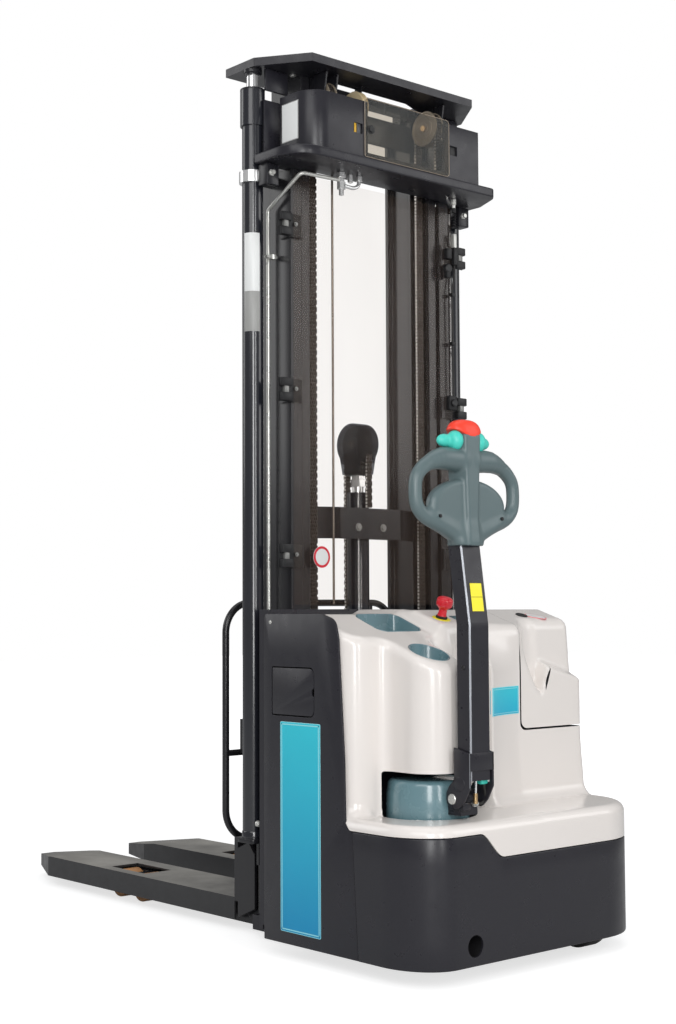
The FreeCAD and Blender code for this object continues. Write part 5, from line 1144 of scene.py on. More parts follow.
def makeHead():
    look = tiller
    x, y = look["x"], look["headY"]
    parts = [sculpt(headField, (x - 0.19, y - 0.034, 0.995), (x + 0.19, y + 0.032, 1.272), 0.0042, 3,
        "headGrey")]
    for side in (-1, 1):
        parts.append(peg(0.0042, 0.004, (x + side * 0.104, y - 0.0185, 1.067), (0, -1, 0), 14,
            "blackPlastic"))
    parts.append(peg(0.0046, 0.004, (x, y - 0.0245, 1.019), (0, -1, 0), 14, "blackPlastic"))

    def dome(px, py, pz):   # belly button: a padded cap over the column
        a, b, c = (px - x + 0.004) / 0.0475, (py - y) / 0.0275, (pz - 1.256) / 0.043
        body = ((np.abs(a) ** 2.8 + np.abs(b) ** 2.8 + np.abs(c) ** 2.8) ** (1 / 2.8) - 1) * 0.026
        return within(body, 1.2655 - 0.01 * np.cos((px - x) * 52) - pz, 0.002)

    def rocker(px, py, pz):   # thumb wheel with a wing beside the column
        u = np.abs(px - x)
        wheel = (np.sqrt(((u - 0.038) / 0.019) ** 2 + ((py - y + 0.004) / 0.022) ** 2
            + ((pz - 1.2475) / 0.0245) ** 2) - 1) * 0.02
        wing = (np.sqrt(((u - 0.062) / 0.024) ** 2 + ((py - y - 0.006) / 0.013) ** 2
            + ((pz - 1.247) / 0.0155) ** 2) - 1) * 0.013
        return np.maximum(joined(wheel, wing, 0.004), 0.0235 - u)

    low, high = (x - 0.1, y - 0.032, 1.215), (x + 0.1, y + 0.031, 1.305)
    parts += [sculpt(dome, low, high, 0.0035, 3, "bellyRed"),
        sculpt(rocker, low, high, 0.0035, 3, "turquoise")]
    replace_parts(addMesh("tillerHead", parts, "tiller", 45), "tiller_head")


makeArm()
makeLinkage()
makeHead()
print("tiller ready")


# ---- crosshead, guards, chains and the mast's fittings

mast = {
    "wall": 0.008, "plateLow": 2.005, "plateTop": 2.03, "boxTop": 2.182,
    "box": [(0.282, -0.53), (-0.33, -0.53, 0.062), (-0.33, -0.405, 0.0)],
    "plate": [(0.254, -0.405), (0.254, -0.3715), (0.388, -0.3715), (0.388, -0.436, 0.02),
        (0.35, -0.522, 0.03), (0.33, -0.542, 0.02), (-0.388, -0.542, 0.085), (-0.388, -0.3715),
        (-0.254, -0.3715), (-0.254, -0.405)],
    "window": ((-0.148, 2.034), (0.163, 2.19)), "opening": ((-0.135, 2.046), (0.148, 2.3)),
    "slots": ((-0.184, 2.092), (-0.153, 2.119), (0.168, 2.098), (0.198, 2.124)),
    "label": ((-0.479, 2.058), (-0.413, 2.16)),
    "brackets": (1.851, 1.419, 0.99), "strapZ": 1.978, "cylinder": (0.364, -0.333, 0.0275),
    "pulley": (0.197, -0.416, 2.2, 0.049), "pipe": (-0.151, -0.4045),
    "chainPitch": 0.0096, "chainWidth": 0.022, "chainDepth": 0.0118, "linkPlates": 7, "linkShoulder": 0.72,
    "linkTip": 0.26, "wrap": 0.04, "rearChainLow": 2.034, "frontChainLow": 0.255, "topPlate": 2.264,
    "upperWebs": ((-0.352, -0.278), (0.278, 0.352)), "lowerWebs": ((-0.357, -0.29), (0.29, 0.357)),
    "webY": (-0.3745, -0.366), "frontCut": (-0.56, -0.5),
    "windowY": (-0.5345, -0.5312), "rimY": -0.5333, "rimRadius": 0.0006,
    "shield": ((-0.29, 0.864), (0.29, 1.99)), "shieldY": (-0.413, -0.409),
    "freeLift": {"y": -0.333, "z": 1.302, "low": 1.217, "rodLow": 0.2, "chainWidth": 0.016},
}


def nodesOf(name):   # empty geometry tree with named inputs
    tree = bpy.data.node_groups.new(name, "GeometryNodeTree")
    tree.interface.new_socket("Geometry", in_out="INPUT", socket_type="NodeSocketGeometry")
    tree.interface.new_socket("Geometry", in_out="OUTPUT", socket_type="NodeSocketGeometry")
    return tree, tree.nodes.new("NodeGroupInput"), tree.nodes.new("NodeGroupOutput")


def makeRepeatTree():   # a shape set on every point, each given a small seeded turn about its own axis
    tree, source, result = nodesOf("repeatShape")
    for name, kind in (("Shape", "NodeSocketObject"), ("Material", "NodeSocketMaterial"),
            ("Turn", "NodeSocketRotation"), ("Spin", "NodeSocketFloat"), ("Seed", "NodeSocketInt")):
        tree.interface.new_socket(name, in_out="INPUT", socket_type=kind)
    shape = addNode(tree, "GeometryNodeObjectInfo", {"Object": source.outputs["Shape"]})
    spread = addNode(tree, "FunctionNodeRandomValue",
        {"Min": 0.0, "Max": 1.0, "Seed": source.outputs["Seed"]})
    angle = addNode(tree, "ShaderNodeMath", {0: spread.outputs[1], 1: source.outputs["Spin"]},
        operation="MULTIPLY")
    around = addNode(tree, "ShaderNodeCombineXYZ", {"Z": angle.outputs[0]})
    placed = addNode(tree, "GeometryNodeInstanceOnPoints",
        {"Points": source.outputs["Geometry"], "Instance": shape.outputs["Geometry"],
        "Rotation": source.outputs["Turn"]})
    spun = addNode(tree, "GeometryNodeRotateInstances",
        {"Instances": placed.outputs[0], "Rotation": around.outputs[0]})
    real = addNode(tree, "GeometryNodeRealizeInstances", {"Geometry": spun.outputs[0]})
    painted = addNode(tree, "GeometryNodeSetMaterial",
        {"Geometry": real.outputs[0], "Material": source.outputs["Material"]})
    tree.links.new(painted.outputs[0], result.inputs[0])
    return tree


def repeated(points, shape, finish, axis=(0, 0, 1), spin=0.0, seed=1):   # one mesh: shape on every point
    cloud = bpy.data.meshes.new("points")
    cloud.from_pydata([tuple(p) for p in points], [], [])
    holder = bpy.data.objects.new("points", cloud)
    pattern = bpy.data.objects.new("pattern", shape)
    for made in (holder, pattern):
        bpy.context.scene.collection.objects.link(made)
    step = holder.modifiers.new("repeat", "NODES")
    values = {"Shape": pattern, "Material": materials[finish], "Spin": spin, "Seed": seed,
        "Turn": Vector((0, 0, 1)).rotation_difference(Vector(axis)).to_euler()}
    tree = repeatTree
    for item in tree.interface.items_tree:
        if item.in_out == "INPUT" and item.name in values:
            value = values[item.name]
            if item.name == "Turn":
                for k in range(3):
                    item.default_value[k] = value[k]
            else:
                item.default_value = value
    step.node_group = tree
    for item in tree.interface.items_tree:
        if item.in_out == "INPUT" and item.name in values:
            step[item.identifier] = values[item.name] if item.name != "Turn" else list(values["Turn"])
    bpy.context.view_layer.update()
    mesh = bpy.data.meshes.new_from_object(holder.evaluated_get(bpy.context.evaluated_depsgraph_get()))
    for made in (holder, pattern):
        bpy.data.objects.remove(made)
    mesh.materials.clear()
    mesh.materials.append(materials[finish])
    mesh.polygons.foreach_set("material_index", [0] * len(mesh.polygons))
    return mesh


repeatTree = makeRepeatTree()


def makeBolt(radius, height):   # hexagon head on a washer, along Z
    wide, thick = radius * 1.45, radius * 0.22
    washer = turned([(0, 0), (wide, 0), (wide, thick), (0, thick)], (0, 0, 0), (0, 0, 1), 14)
    return together(washer, turned([(radius, radius * 0.2), (radius, height - radius * 0.15),
        (radius * 0.82, height), (0, height)], (0, 0, 0), (0, 0, 1), 6))


def makeLink(width):   # leaf chain, two pitches of it: plates that overlap by turns, running along Z
    pitch, depth = mast["chainPitch"], mast["chainDepth"]
    reach, thin = pitch * 0.8, width / 8.4
    count, shoulder, tip = mast["linkPlates"], reach * mast["linkShoulder"], depth * mast["linkTip"]
    parts = []
    for k in range(count):
        at, shift = -width / 2 + width * (k + 0.5) / count, pitch * (k % 2)
        outline = [(-depth / 2, -shoulder), (-tip, -reach), (tip, -reach), (depth / 2, -shoulder),
            (depth / 2, shoulder), (tip, reach), (-tip, reach), (-depth / 2, shoulder)]
        parts.append(cutter([(y, z + shift) for y, z in outline], "X", at - thin / 2, at + thin / 2))
    return together(*parts)


def makePins(width):
    return together(*[turned([(0.0034, -width / 2 - 0.0008), (0.0034, width / 2 + 0.0008)],
        (0, 0, mast["chainPitch"] * k), (1, 0, 0), 6) for k in (-0.5, 0.5)])


def strand(x, y, low, high, width):
    step = 2 * mast["chainPitch"]
    spots = [(x, y, low + step * (k + 0.5)) for k in range(int((high - low) / step))]
    return together(repeated(spots, makeLink(width), "chainSteel"),
        repeated(spots, makePins(width), "pinSteel"))


def makeChains():
    look = mast
    px, py, pz, radius = look["pulley"]
    width, wrap = look["chainWidth"], look["wrap"]
    rearLow, frontLow = look["rearChainLow"], look["frontChainLow"]
    for side, name in ((-1, "Left"), (1, "Right")):
        upper = addMesh("rearChain" + name, strand(side * px, py - wrap, rearLow, pz, width), None, 30)
        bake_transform(upper)
        lower = addMesh("frontChain" + name, strand(side * px, py + wrap, frontLow, pz, width), None, 30)
        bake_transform(lower)
        over = []
        for k in range(7):
            turn = math.pi * (k + 0.5) / 7
            for shape, finish in ((makeLink(width), "chainSteel"), (makePins(width), "pinSteel")):
                shape.materials.append(materials[finish])
                shape.transform(Matrix.Translation((side * px, py + wrap * math.cos(turn),
                    pz + wrap * math.sin(turn))) @ Matrix.Rotation(turn, 4, "X"))
                over.append(shape)
        addMesh("chainBend" + name, over, "mast_middle", 30)
        if side < 0:
            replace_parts(upper, "upper_chains")
            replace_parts(lower, "lower_chains")
    wheelLine = [(0.01, -0.0138), (0.028, -0.0138), (0.03, -0.0122), (0.042, -0.0122), (0.0435, -0.0138),
        (radius, -0.0138), (radius, -0.0118), (0.0345, -0.0114), (0.0345, 0.0114), (radius, 0.0118),
        (radius, 0.0138), (0.01, 0.0138)]
    bushLine = [(0.015, -0.0158), (0.016, -0.015), (0.016, 0.015), (0.015, 0.0158)]
    pinLine = [(0.0085, -0.02), (0.0085, 0.02)]
    top = look["topPlate"]
    wheels = []
    for side in (-1, 1):
        x = side * px
        for line, count, finish in ((wheelLine, 48, "pulleySteel"), (bushLine, 30, "pulleySteel"),
                (pinLine, 18, "brass")):
            wheels.append(turned(line, (x, py, pz), (1, 0, 0), count, finish))
        for a, b in ((-0.022, -0.0165), (0.0165, 0.022))[0 if side < 0 else 1:]:
            outline = roundCorners([(py - 0.03, pz - 0.026, 0.02), (py + 0.03, pz - 0.026, 0.02),
                (py + 0.046, top, 0), (py - 0.046, top, 0)], 0)
            wheels.append(plate(outline, "X", x + a, x + b, 0.001, "mastPaint"))
    wheels.append(plate(softRect((-0.236, 2.228), (0.236, top), 0.002), "Y", -0.372, -0.3675, 0.001,
        "mastPaint"))
    hoseLine = [(0.008, -0.01), (0.046, -0.01), (0.048, -0.008), (0.04, -0.003), (0.04, 0.003),
        (0.048, 0.008), (0.046, 0.01), (0.008, 0.01)]
    hose = turned(hoseLine, (-0.083, py - 0.004, 2.198), (1, 0, 0), 44, "hosePulley")
    arm = block((-0.07, py - 0.016, 2.19), (-0.066, py + 0.01, top), 0.001, "mastPaint")
    axle = peg(0.008, 0.03, (-0.096, py - 0.004, 2.198), (1, 0, 0), 16, "zinc")
    addMesh("hoseWheel", [hose, arm, axle], "mast_middle", 34)
    rear, front = look["webY"]
    for low, high in look["upperWebs"]:   # from the top plate down to the middle rails
        wheels.append(block((low, rear, 2.207), (high, front, top), 0.001, "charcoalPaint"))
    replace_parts(addMesh("chainPulleys", wheels, "mast_middle", 34), "chain_pulleys")
    freeChains = [
        ("freeLiftRearChain", "freelift_rear_chain", -0.377, 1.126, 1.302, ("mast_inner", "freelift_head")),
        ("freeLiftFrontChain", "freelift_front_chain", -0.289, 0.513, 1.302, ("freelift_head", "carriage")),
    ]
    for name, node, y, low, high, ends in freeChains:
        made = addMesh(name, strand(0.0, y, low, high, look["freeLift"]["chainWidth"]), None, 30)
        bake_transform(made)
        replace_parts(made, node)


def wallMesh(points, low, high, thick, finish):   # upright wall whose outer face follows the points
    outer = [Vector(p[:2]) for p in points]
    inner = []
    for i, here in enumerate(outer):
        before, after = outer[max(i - 1, 0)], outer[min(i + 1, len(outer) - 1)]
        along = (after - before).normalized()
        inner.append(here + Vector((along.y, -along.x)) * thick)
    return plate([tuple(p) for p in outer] + [tuple(p) for p in reversed(inner)], "Z", low, high, 0.0012,
        finish)


def makeCrosshead():
    look = mast
    route = roundCorners([(0.282, -0.45)] + look["box"] + [(-0.33, -0.35)], 0, 9)
    route = [p for p in route if p[1] <= -0.4049 and not (p[0] > 0.28 and p[1] > -0.529)]
    shell = wallMesh(route, look["plateTop"] - 0.002, look["boxTop"], look["wall"], "charcoalPaint")
    low, high = look["opening"]
    cuts = [cutter([low, (high[0], low[1]), high, (low[0], high[1])], "Y", *look["frontCut"])]
    slots = look["slots"]
    for k in (0, 2):
        cuts.append(cutter(softRect(slots[k], slots[k + 1], 0.003, 3), "Y", *look["frontCut"]))
    shell = carve(shell, *cuts)
    floor = plate(roundCorners(look["plate"], 0, 6), "Z", look["plateLow"], look["plateTop"], 0.004,
        "charcoalPaint", 3)
    parts = [shell, floor, block((0.274, -0.523, 2.028), (0.282, -0.44, 2.152), 0.001, "charcoalPaint")]
    rear, front = look["webY"]
    for left, right in look["lowerWebs"]:   # up from the floor plate at both ends
        parts.append(block((left, rear, 2.02), (right, front, 2.18), 0.001, "charcoalPaint"))
    parts.append(block((-0.18, -0.5262, 2.093), (-0.157, -0.524, 2.118), 0.0005, "blackPlastic"))
    for left, right, finish in ((-0.18, -0.1725, "dullYellow"), (-0.168, -0.1655, "greyMarkAndPaintedHighlight"),
            (-0.161, -0.1595, "greyMarkAndPaintedHighlight")):
        parts.append(block((left, -0.5268, 2.093), (right, -0.5258, 2.118), 0.0003, finish))
    parts.append(block((0.168, -0.5255, 2.098), (0.198, -0.524, 2.124), 0.0005, "blackPlastic"))
    (y0, z0), (y1, z1) = look["label"]
    for inset, proud, finish in ((0, 0.0004, "labelGrey"), (0.002, 0.0007, "blankWhite")):
        parts.append(block((-0.33 - proud, y0 + inset, z0 + inset), (-0.329, y1 - inset, z1 - inset), 0,
            finish))
    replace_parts(addMesh("crosshead", parts, "chassis", 34), "crosshead")


def makeGuards():
    look = mast
    window = plate(softRect(*look["window"], 0.012, 6), "Y", *look["windowY"], 0.0006, "smokedSheet", 1)
    shield = plate(softRect(*look["shield"], 0.01, 5), "Y", *look["shieldY"], 0.0006, "clearSheet", 1)
    (left, low), (right, high) = look["window"]
    # a thin bright tube round the window: painted highlight on the sheet's edge
    route = [(x, look["rimY"], z) for x, z in ((left, low + 0.01), (left, high), (right, high), (right, low),
        (left, low), (left, low + 0.012))]
    rim = tube(bendPath(route, 0.012, 4), look["rimRadius"], "paintedEdgeGlint", 6)
    guards = addMesh("clearGuards", [window, shield, rim], "chassis", 34)
    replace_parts(guards, "clear_guards")


def makeBolts():   # bolt heads on the mast, in one piece for each place
    clamps = [(side * 0.2834, -0.4125, z + 0.004) for z in mast["brackets"] for side in (-1, 1)]
    bow = [(-0.045, -0.3852, 1.073), (0.045, -0.3852, 1.073)]
    groups = [
        ("shieldBolts", clamps, 0.004, 0.005, "dullZinc", "chassis", 3),
        ("windowBolts", [(-0.128, -0.5345, 2.108)], 0.0085, 0.0055, "blackPlastic", "chassis", 7),
        ("bowBolts", bow, 0.0075, 0.006, "dullZinc", "mast_inner", 9),
    ]
    for name, spots, radius, height, finish, body, seed in groups:
        addMesh(name, repeated(spots, makeBolt(radius, height), finish, (0, -1, 0), 1.0, seed), body, 30)


def makeBrackets():   # clamps that hold the clear shield on the rails
    parts = []
    for z in mast["brackets"]:
        for side in (-1, 1):
            x = side * 0.3205
            low, high = sorted((side * 0.262, side * 0.34))
            parts += [block((low, -0.4088, z - 0.03), (high, -0.4048, z + 0.03), 0.0008, "blackPlastic"),
                block((x - 0.018, -0.423, z + 0.008), (x + 0.018, -0.409, z + 0.03), 0.003, "blackPlastic"),
                block((x - 0.018, -0.423, z - 0.03), (x + 0.018, -0.409, z - 0.008), 0.003, "blackPlastic"),
                block((x - 0.007, -0.42, z - 0.009), (x + 0.007, -0.409, z + 0.009), 0.001, "dullZinc")]
    addMesh("shieldBrackets", parts, "chassis", 32)


def makeCylinderTrim():   # strap, gland and rod seal of each lift cylinder, and the left one's blank plates
    x, y, radius = mast["cylinder"]
    z = mast["strapZ"]
    up, rear = (0, 0, 1), (0, -1, 0)
    bandLine = [(radius + 0.0061, 0), (radius + 0.0078, 0), (radius + 0.0078, 0.03), (radius + 0.0061, 0.03)]
    nutLine = [(0.009, 0), (0.009, 0.004), (0.006, 0.005), (0.006, 0.012), (0, 0.012)]
    glandLine = [(radius + 0.0051, 0), (radius + 0.0051, 0.004), (radius + 0.0045, 0.005), (0, 0.005)]
    sealLine = [(0.0175, 0), (0.0205, 0), (0.0205, 0.004), (0.0175, 0.004)]
    ventLine = [(0.0048, 0), (0.0048, 0.0012), (0.002, 0.0012), (0, 0.0002)]
    parts = []
    for side in (-1, 1):
        at, strap = side * x, side * 0.352
        parts += [turned(bandLine, (at, y, z - 0.015), up, 40, "chrome"),
            block((strap - 0.024, -0.4085, z - 0.03), (strap + 0.016, -0.3715, z + 0.026), 0.003,
            "mastPaint"), turned(nutLine, (strap - 0.01, -0.408, z), rear, 6, "zinc"),
            turned(glandLine, (at, y, 2.2085), up, 40, "mastPaint"),
            turned(sealLine, (at, y, 2.2125), up, 32, "blackRubber"),
            turned(ventLine, (at + 0.0165, y - 0.0277, 2.128), (0.5, -0.86, 0), 12, "blackPlastic")]
    films = [   # how proud, heights, first angle, step and count in degrees, finish
        (0.0086, z - 0.011, z + 0.011, -105, 6, 9, "blankWhite"),
        (0.0005, 1.676, 1.829, -178, 90 / 14, 15, "blankWhite"),
        (0.0005, 1.571, 1.676, -178, 90 / 14, 15, "labelGrey"),
    ]
    for proud, low, high, first, turn, count, finish in films:
        arc = [math.radians(first + turn * k) for k in range(count)]
        route = [(-x + (radius + proud) * math.cos(a), y + (radius + proud) * math.sin(a)) for a in arc]
        parts.append(wallMesh(route[::-1], low, high, 0.0006, finish))
    addMesh("cylinderTrim", parts, "chassis", 34)


def makeHydraulics():   # tee, elbows and spring hose under the crosshead, and the pipe behind the shield
    x, y = mast["pipe"]
    addMesh("guardPipe", tube([(x, y, 0.866), (x, y, 1.4), (x, y, 2.006)], 0.0031, "pipeSteel", 12),
        "chassis", 40)
    back, under, hoseX = -0.452, 2.0045, 0.262
    parts = []
    fittings = [
        ([(0.0125, 0), (0.0125, 0.012), (0.0085, 0.014), (0.0085, 0.022), (0.0115, 0.024), (0.0115, 0.044),
            (0.0065, 0.046), (0.0065, 0.06), (0, 0.06)], -0.16, "chrome"),
        ([(0.0095, 0), (0.0095, 0.012), (0, 0.012)], -0.096, "chrome"),
        ([(0.0075, 0), (0.0075, 0.02), (0.0045, 0.022), (0, 0.022)], -0.128, "chrome"),
        ([(0.0078, 0), (0.0078, 0.014), (0.005, 0.016), (0.005, 0.026), (0, 0.026)], hoseX, "zinc"),
    ]
    for line, x, finish in fittings:
        parts.append(turned(line, (x, back, under), (0, 0, -1), 6, finish))
    elbow = [(-0.156, back, 1.972), (-0.116, back, 1.97), (-0.098, back, 1.98), (-0.096, back, 2.006)]
    coil = [(hoseX + 0.0055 * math.cos(math.tau * k / 12), back + 0.0055 * math.sin(math.tau * k / 12),
        1.966 - 0.00062 * k) for k in range(73)]
    parts += [tube(bendPath(elbow, 0.016, 5), 0.0052, "chrome", 12),
        peg(0.0066, 0.012, (hoseX, back, 1.979), (0, 0, -1), 12, "blackPlastic"),
        tube(coil, 0.0011, "blackPlastic", 5)]
    addMesh("hydraulicFittings", parts, "chassis", 34)


def makeSwitches():   # height switches and their wire beside the right rail
    y = -0.415
    parts = []
    boxes = [   # two corners, edge and finish
        (0.292, -0.006, 1.872, 0.306, 0.01, 1.918, 0.002, "zinc"),
        (0.29, -0.009, 1.828, 0.308, 0.01, 1.878, 0.002, "blackPlastic"),
        (0.262, -0.01, 1.842, 0.282, 0.008, 1.872, 0.003, "blackPlastic"),
        (0.262, -0.008, 1.788, 0.279, 0.008, 1.826, 0.003, "blackPlastic"),
        (0.268, -0.008, 1.412, 0.3, 0.008, 1.452, 0.003, "blackPlastic"),
    ]
    buttons = [(0.013, 0.012, 0.27, 0.004, 1.815), (0.011, 0.01, 0.284, -0.004, 1.432)]
    for x0, y0, z0, x1, y1, z1, edge, finish in boxes:
        parts.append(block((x0, y + y0, z0), (x1, y + y1, z1), edge, finish))
    for radius, deep, x, shift, z in buttons:
        parts.append(turned([(radius, 0), (radius, deep), (radius - 0.003, deep + 0.002), (0, deep + 0.002)],
            (x, y + shift, z), (0, -1, 0), 20, "blackPlastic"))
    wire = [(0.3, y, 1.832), (0.3, y, 1.8), (0.29, y, 1.76), (0.2915, y, 1.6), (0.293, y, 1.452)]
    parts += [tube(bendPath(wire, 0.03, 6), 0.0026, "blackRubber", 8),
        repeated([(0.2915, y, z) for z in (1.742, 1.602)],
        block((-0.0075, -0.006, -0.005), (0.0075, 0.006, 0.005), 0.0015), "blackPlastic")]
    addMesh("mastSwitches", parts, "chassis", 34)


def makeSignAndClip():
    at = (-0.2, -0.413, 0.989)
    rounds = ((0.0285, 0.001, "blankWhite"), (0.028, 0.0014, "signRed"), (0.0215, 0.0018, "blankWhite"))
    discs = [peg(radius, proud, at, (0, -1, 0), 40, finish) for radius, proud, finish in rounds]
    addMesh("blankRoundSign", discs, "chassis", 34)
    addMesh("pipeClip", [block((-0.33, -0.352, 1.772), (-0.296, -0.338, 1.779), 0.001, "zinc"),
        peg(0.0085, 0.012, (-0.306, -0.346, 1.77), (0, 0, 1), 16, "zinc")], "chassis", 34)


def makeFreeHead():   # chain wheel under a smoked cover, on the free-lift rod
    look = mast["freeLift"]
    low, z, y, rodLow = look["low"], look["z"], look["y"], look["rodLow"]

    def coverLine(radius, drop):   # arch round the wheel, down to a level
        arc = [(y + radius * math.cos(math.radians(a)), z + radius * math.sin(math.radians(a)))
            for a in range(-38, 219, 8)]
        return arc + [(y - radius * 0.6, drop), (y + radius * 0.6, drop)]

    cover = carve(plate(coverLine(0.0578, 1.219), "X", -0.028, 0.028, 0.005, "darkSheet", 3),
        cutter(coverLine(0.0552, 1.15), "X", -0.0256, 0.0256))
    rodLine = [(0.015, 0), (0.015, low - rodLow)]
    wheelLine = [(0.01, -0.0125), (0.0495, -0.0125), (0.0495, -0.0095), (0.037, -0.009), (0.037, 0.009),
        (0.0495, 0.0095), (0.0495, 0.0125), (0.01, 0.0125)]
    pinLine = [(0.012, -0.025), (0.012, 0.025), (0, 0.025), (0, -0.025)]
    nutLine = [(0.0215, 0), (0.0215, 0.02), (0.017, 0.022), (0.017, 0.03), (0, 0.03)]
    parts = [cover, turned(rodLine, (0, y, rodLow), (0, 0, 1), 28, "chrome"),
        block((-0.024, y - 0.028, low), (0.024, y + 0.028, low + 0.026), 0.003, "blackPlastic"),
        turned(wheelLine, (0, y, z), (1, 0, 0), 44, "chainSteel"),
        turned(pinLine, (0, y, z), (1, 0, 0), 24, "brass"),
        turned(nutLine, (0, y, 1.186), (0, 0, 1), 6, "chrome")]
    for side in (-1, 1):
        low1, high1 = sorted((side * 0.0165, side * 0.0225))
        parts.append(plate(roundCorners([(y - 0.024, low), (y + 0.024, low), (y + 0.016, z + 0.02, 0.012),
            (y - 0.016, z + 0.02, 0.012)], 0.002), "X", low1, high1, 0.001, "blackPlastic"))
    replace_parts(addMesh("freeLiftHead", parts, "freelift_head", 34), "freelift_head")


makeChains()
makeCrosshead()
makeGuards()
makeBrackets()
makeBolts()
makeCylinderTrim()
makeHydraulics()
makeSwitches()
makeSignAndClip()
makeFreeHead()
print("mast fittings ready")


# ---- wheels, load side, key panel and what the hood hides

under = {
    "roller": (0.195, 0.04, 0.035), "rollerY": {"rear": 0.374, "front": 0.487},
    "drive": (-0.2, -0.8, 0.115, 0.0375), "castor": (0.25, -0.888, 0.075, 0.0275),
    "battery": ((0.042, -0.652, 0.072), (0.338, -0.466, 0.446)), "ribs": 9, "ribStep": 0.03,
    "ribHalf": 0.135, "strapIn": 0.045,
}


def makeWheel(at, radius, half, bore, depth, tyre, rim, grooves=0, holes=0):   # tyre on a dished hub, along X
    face, seat = half - 0.001, radius - depth
    tread = []
    for k in range(grooves):
        middle = half * (2 * (k + 1) / (grooves + 1) - 1)
        tread += [(radius, middle - 0.0022), (radius - 0.0035, middle - 0.0016),
            (radius - 0.0035, middle + 0.0016), (radius, middle + 0.0022)]
    tyreLine = [(seat, -face), (radius - 0.0045, -half), (radius - 0.0013, -half + 0.0013),
        (radius, -half + 0.0045), *tread, (radius, half - 0.0045), (radius - 0.0013, half - 0.0013),
        (radius - 0.0045, half), (seat, face)]
    wall, dish = max(0.004, depth * 0.3), min(0.01, half * 0.35)
    hubLine = [(bore, -face), (bore + 0.007, -face), (bore + 0.009, -face + dish),
        (seat - wall - 0.003, -face + dish), (seat - wall, -face), (seat - 0.0003, -face),
        (seat - 0.0003, face), (seat - wall, face), (seat - wall - 0.003, face - dish),
        (bore + 0.009, face - dish), (bore + 0.007, face), (bore, face)]
    parts = [turned(tyreLine, at, (1, 0, 0), 64, tyre, True), turned(hubLine, at, (1, 0, 0), 48, rim, True)]
    for side in (-1, 1) if holes else ():
        middle = (bore + 0.009 + seat - wall - 0.003) / 2
        spots = [(at[0] + side * (face - dish), at[1] + middle * math.cos(math.tau * k / holes),
            at[2] + middle * math.sin(math.tau * k / holes)) for k in range(holes)]
        parts.append(repeated(spots, makeBolt(0.0055, 0.0055), "zinc", (side, 0, 0), 1.0, 11))
    return together(*parts)


def makeWheels():
    look = under
    x, radius, half = look["roller"]
    for where, y in look["rollerY"].items():
        for side, name in ((-1, "left"), (1, "right")):
            body = "load_roller_" + where + "_" + name
            wheel = makeWheel((side * x, y, radius), radius, half, 0.01035, 0.012, "rollerTyre", "zinc")
            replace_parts(addMesh("loadRoller" + where.title() + name.title(), wheel, body, 34), body)
    x, y, radius, half = look["drive"]
    wheel = makeWheel((x, y, radius), radius, half, 0.01008, 0.03, "blackRubber", "mastPaint", 3, 6)
    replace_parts(addMesh("driveWheel", wheel, "drive_wheel", 34), "drive_wheel")
    x, y, radius, half = look["castor"]
    wheel = makeWheel((x, y, radius), radius, half, 0.00808, 0.02, "blackRubber", "zinc")
    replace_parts(addMesh("castorWheel", wheel, "castor_wheel", 34), "castor_wheel")


def makeBattery():   # sealed pack: ribbed case, lid, straps to lift it and two plugs
    low, high = under["battery"]
    lidZ = high[2] - 0.055
    inset = 0.003
    parts = [block((low[0] + inset, low[1] + inset, low[2]), (high[0] - inset, high[1] - inset, lidZ), 0.006,
        "battery"), block((low[0], low[1], lidZ + 0.0015), (high[0], high[1], high[2] - 0.004), 0.008,
        "battery")]
    step, tall, strap = under["ribStep"], under["ribHalf"], under["strapIn"]
    across = [low[0] + step + step * k for k in range(under["ribs"])]
    for y in (low[1] + 0.0025, high[1] - 0.0025):
        parts.append(repeated([(x, y, (low[2] + lidZ) / 2) for x in across],
            block((-0.004, -0.0025, -tall), (0.004, 0.0025, tall), 0.001), "battery"))
    for x in (low[0] + 0.05, high[0] - 0.05):
        route = [(x, low[1] + strap, high[2] - 0.006), (x, low[1] + strap, high[2] + 0.003),
            (x, high[1] - strap, high[2] + 0.003), (x, high[1] - strap, high[2] - 0.006)]
        parts.append(tube(bendPath(route, 0.006, 4), 0.0035, "blackRubber", 8))
    for x, finish in ((0.165, "signalRed"), (0.215, "blackPlastic")):
        parts.append(turned([(0.011, 0), (0.011, 0.006), (0.009, 0.0075), (0, 0.0075)],
            (x, -0.5, high[2] - 0.005), (0, 0, 1), 20, finish))
    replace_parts(addMesh("batteryPack", parts, "chassis", 34), "battery_pack")


def makeKeyPanel():
    front, rear = (-0.6885, 0.8355), (-0.7395, 0.8195)
    outline = [front, rear, (rear[0], rear[1] - 0.0095), (front[0], front[1] - 0.0095)]
    up = (0, -0.3, 0.954)
    slab = plate(outline, "X", -0.0115, 0.0495, 0.0018, "blueGrey")
    at = (0.019, -0.714, 0.827)
    lockLine = [(0.0105, 0), (0.0105, 0.0035), (0.0092, 0.005), (0.007, 0.005), (0.0064, 0.0035),
        (0, 0.0035)]
    keyway = block((0.0182, -0.7185, 0.8295), (0.0198, -0.7095, 0.8325), 0.0002, "blackPlastic")
    parts = [slab, turned(lockLine, at, up, 28, "zinc"), keyway]
    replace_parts(addMesh("keyPanel", parts, "chassis", 34), "key_panel")


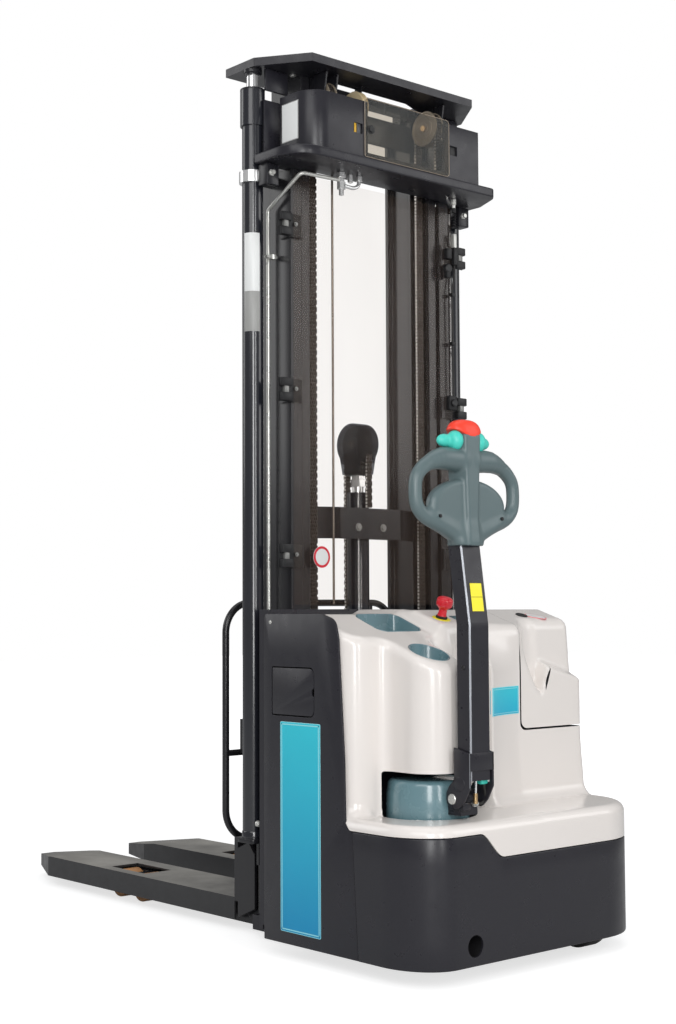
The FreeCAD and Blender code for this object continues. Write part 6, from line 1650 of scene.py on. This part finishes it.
def makeChassisTrim():
    trim = []
    footX, footY = mast["cylinder"][:2]
    footLine = [(0.029, 0), (0.029, 0.016), (0.0278, 0.018), (0, 0.018)]
    pinLine = [(0.0085, 0), (0.0085, 0.004), (0.0072, 0.008), (0.004, 0.0105), (0, 0.0112)]
    screwLine = [(0.0052, 0), (0.0052, 0.0008), (0.004, 0.002), (0.0016, 0.002), (0.0012, 0.001), (0, 0.001)]
    collarLine = [(0.025, 0), (0.025, 0.009), (0.0215, 0.011), (0.0215, 0.0145), (0, 0.0145)]
    for side in (-1, 1):   # foot of each lift cylinder, with its pin
        x = side * footX
        outline = roundCorners([(x - 0.034, -0.372, 0.012), (x + 0.034, -0.372, 0.012),
            (x + 0.034, -0.298, 0.02), (x - 0.034, -0.298, 0.02)], 0.01)
        trim.append(plate(outline, "Z", 0.2625, 0.2735, 0.002, "mastPaint"))
        trim.append(turned(footLine, (x, footY, 0.2735), (0, 0, 1), 40, "cylinderPaint"))
        trim.append(turned(pinLine, (x - 0.012, -0.3655, 0.312), (0, -1, 0), 20, "zinc"))
    trim.append(turned(screwLine, (-0.407, -0.457, 0.8215), (-1, 0, 0), 18, "zinc"))
    heads = [(side * 0.345, -0.4168, z) for side in (-1, 1) for z in (0.3, 0.52)]
    trim.append(repeated(heads, makeBolt(0.0065, 0.0055), "dullZinc", (0, -1, 0), 1.0, 13))
    addMesh("chassisTrim", trim, "chassis", 34)
    collars = []
    for side in (-1, 1):
        collars.append(turned(collarLine, (side * footX, footY, 2.265), (0, 0, -1), 32, "mastPaint"))
    heads = [(side * x, y, 2.2648) for side in (-1, 1) for x, y in ((0.262, -0.375), (0.262, -0.29))]
    collars.append(repeated(heads, makeBolt(0.0066, 0.005), "dullZinc", (0, 0, -1), 1.0, 15))
    addMesh("topPlateFasteners", collars, "mast_middle", 34)


def makeCarriageTrim():   # bolts that hold the backrest, weld runs at the heels
    heads = [(side * x, -0.1378, z) for side in (-1, 1) for x in (0.246, 0.222) for z in (0.512, 0.538)]
    trim = [repeated(heads, makeBolt(0.006, 0.005), "dullZinc", (0, 1, 0), 1.0, 17)]
    bead = turned([(0.0026, -0.0016), (0.0034, 0), (0.0026, 0.0016)], (0, 0, 0), (1, 0, 0), 8)
    for side in (-1, 1):
        spots = [(side * (0.112 + 0.0031 * k), -0.15, 0.0905) for k in range(54)]
        trim.append(repeated(spots, bead, "railPaint"))
    addMesh("carriageTrim", trim, "carriage", 34)


makeWheels()
makeBattery()
makeKeyPanel()
makeChassisTrim()
makeCarriageTrim()
print("wheels and trim ready")
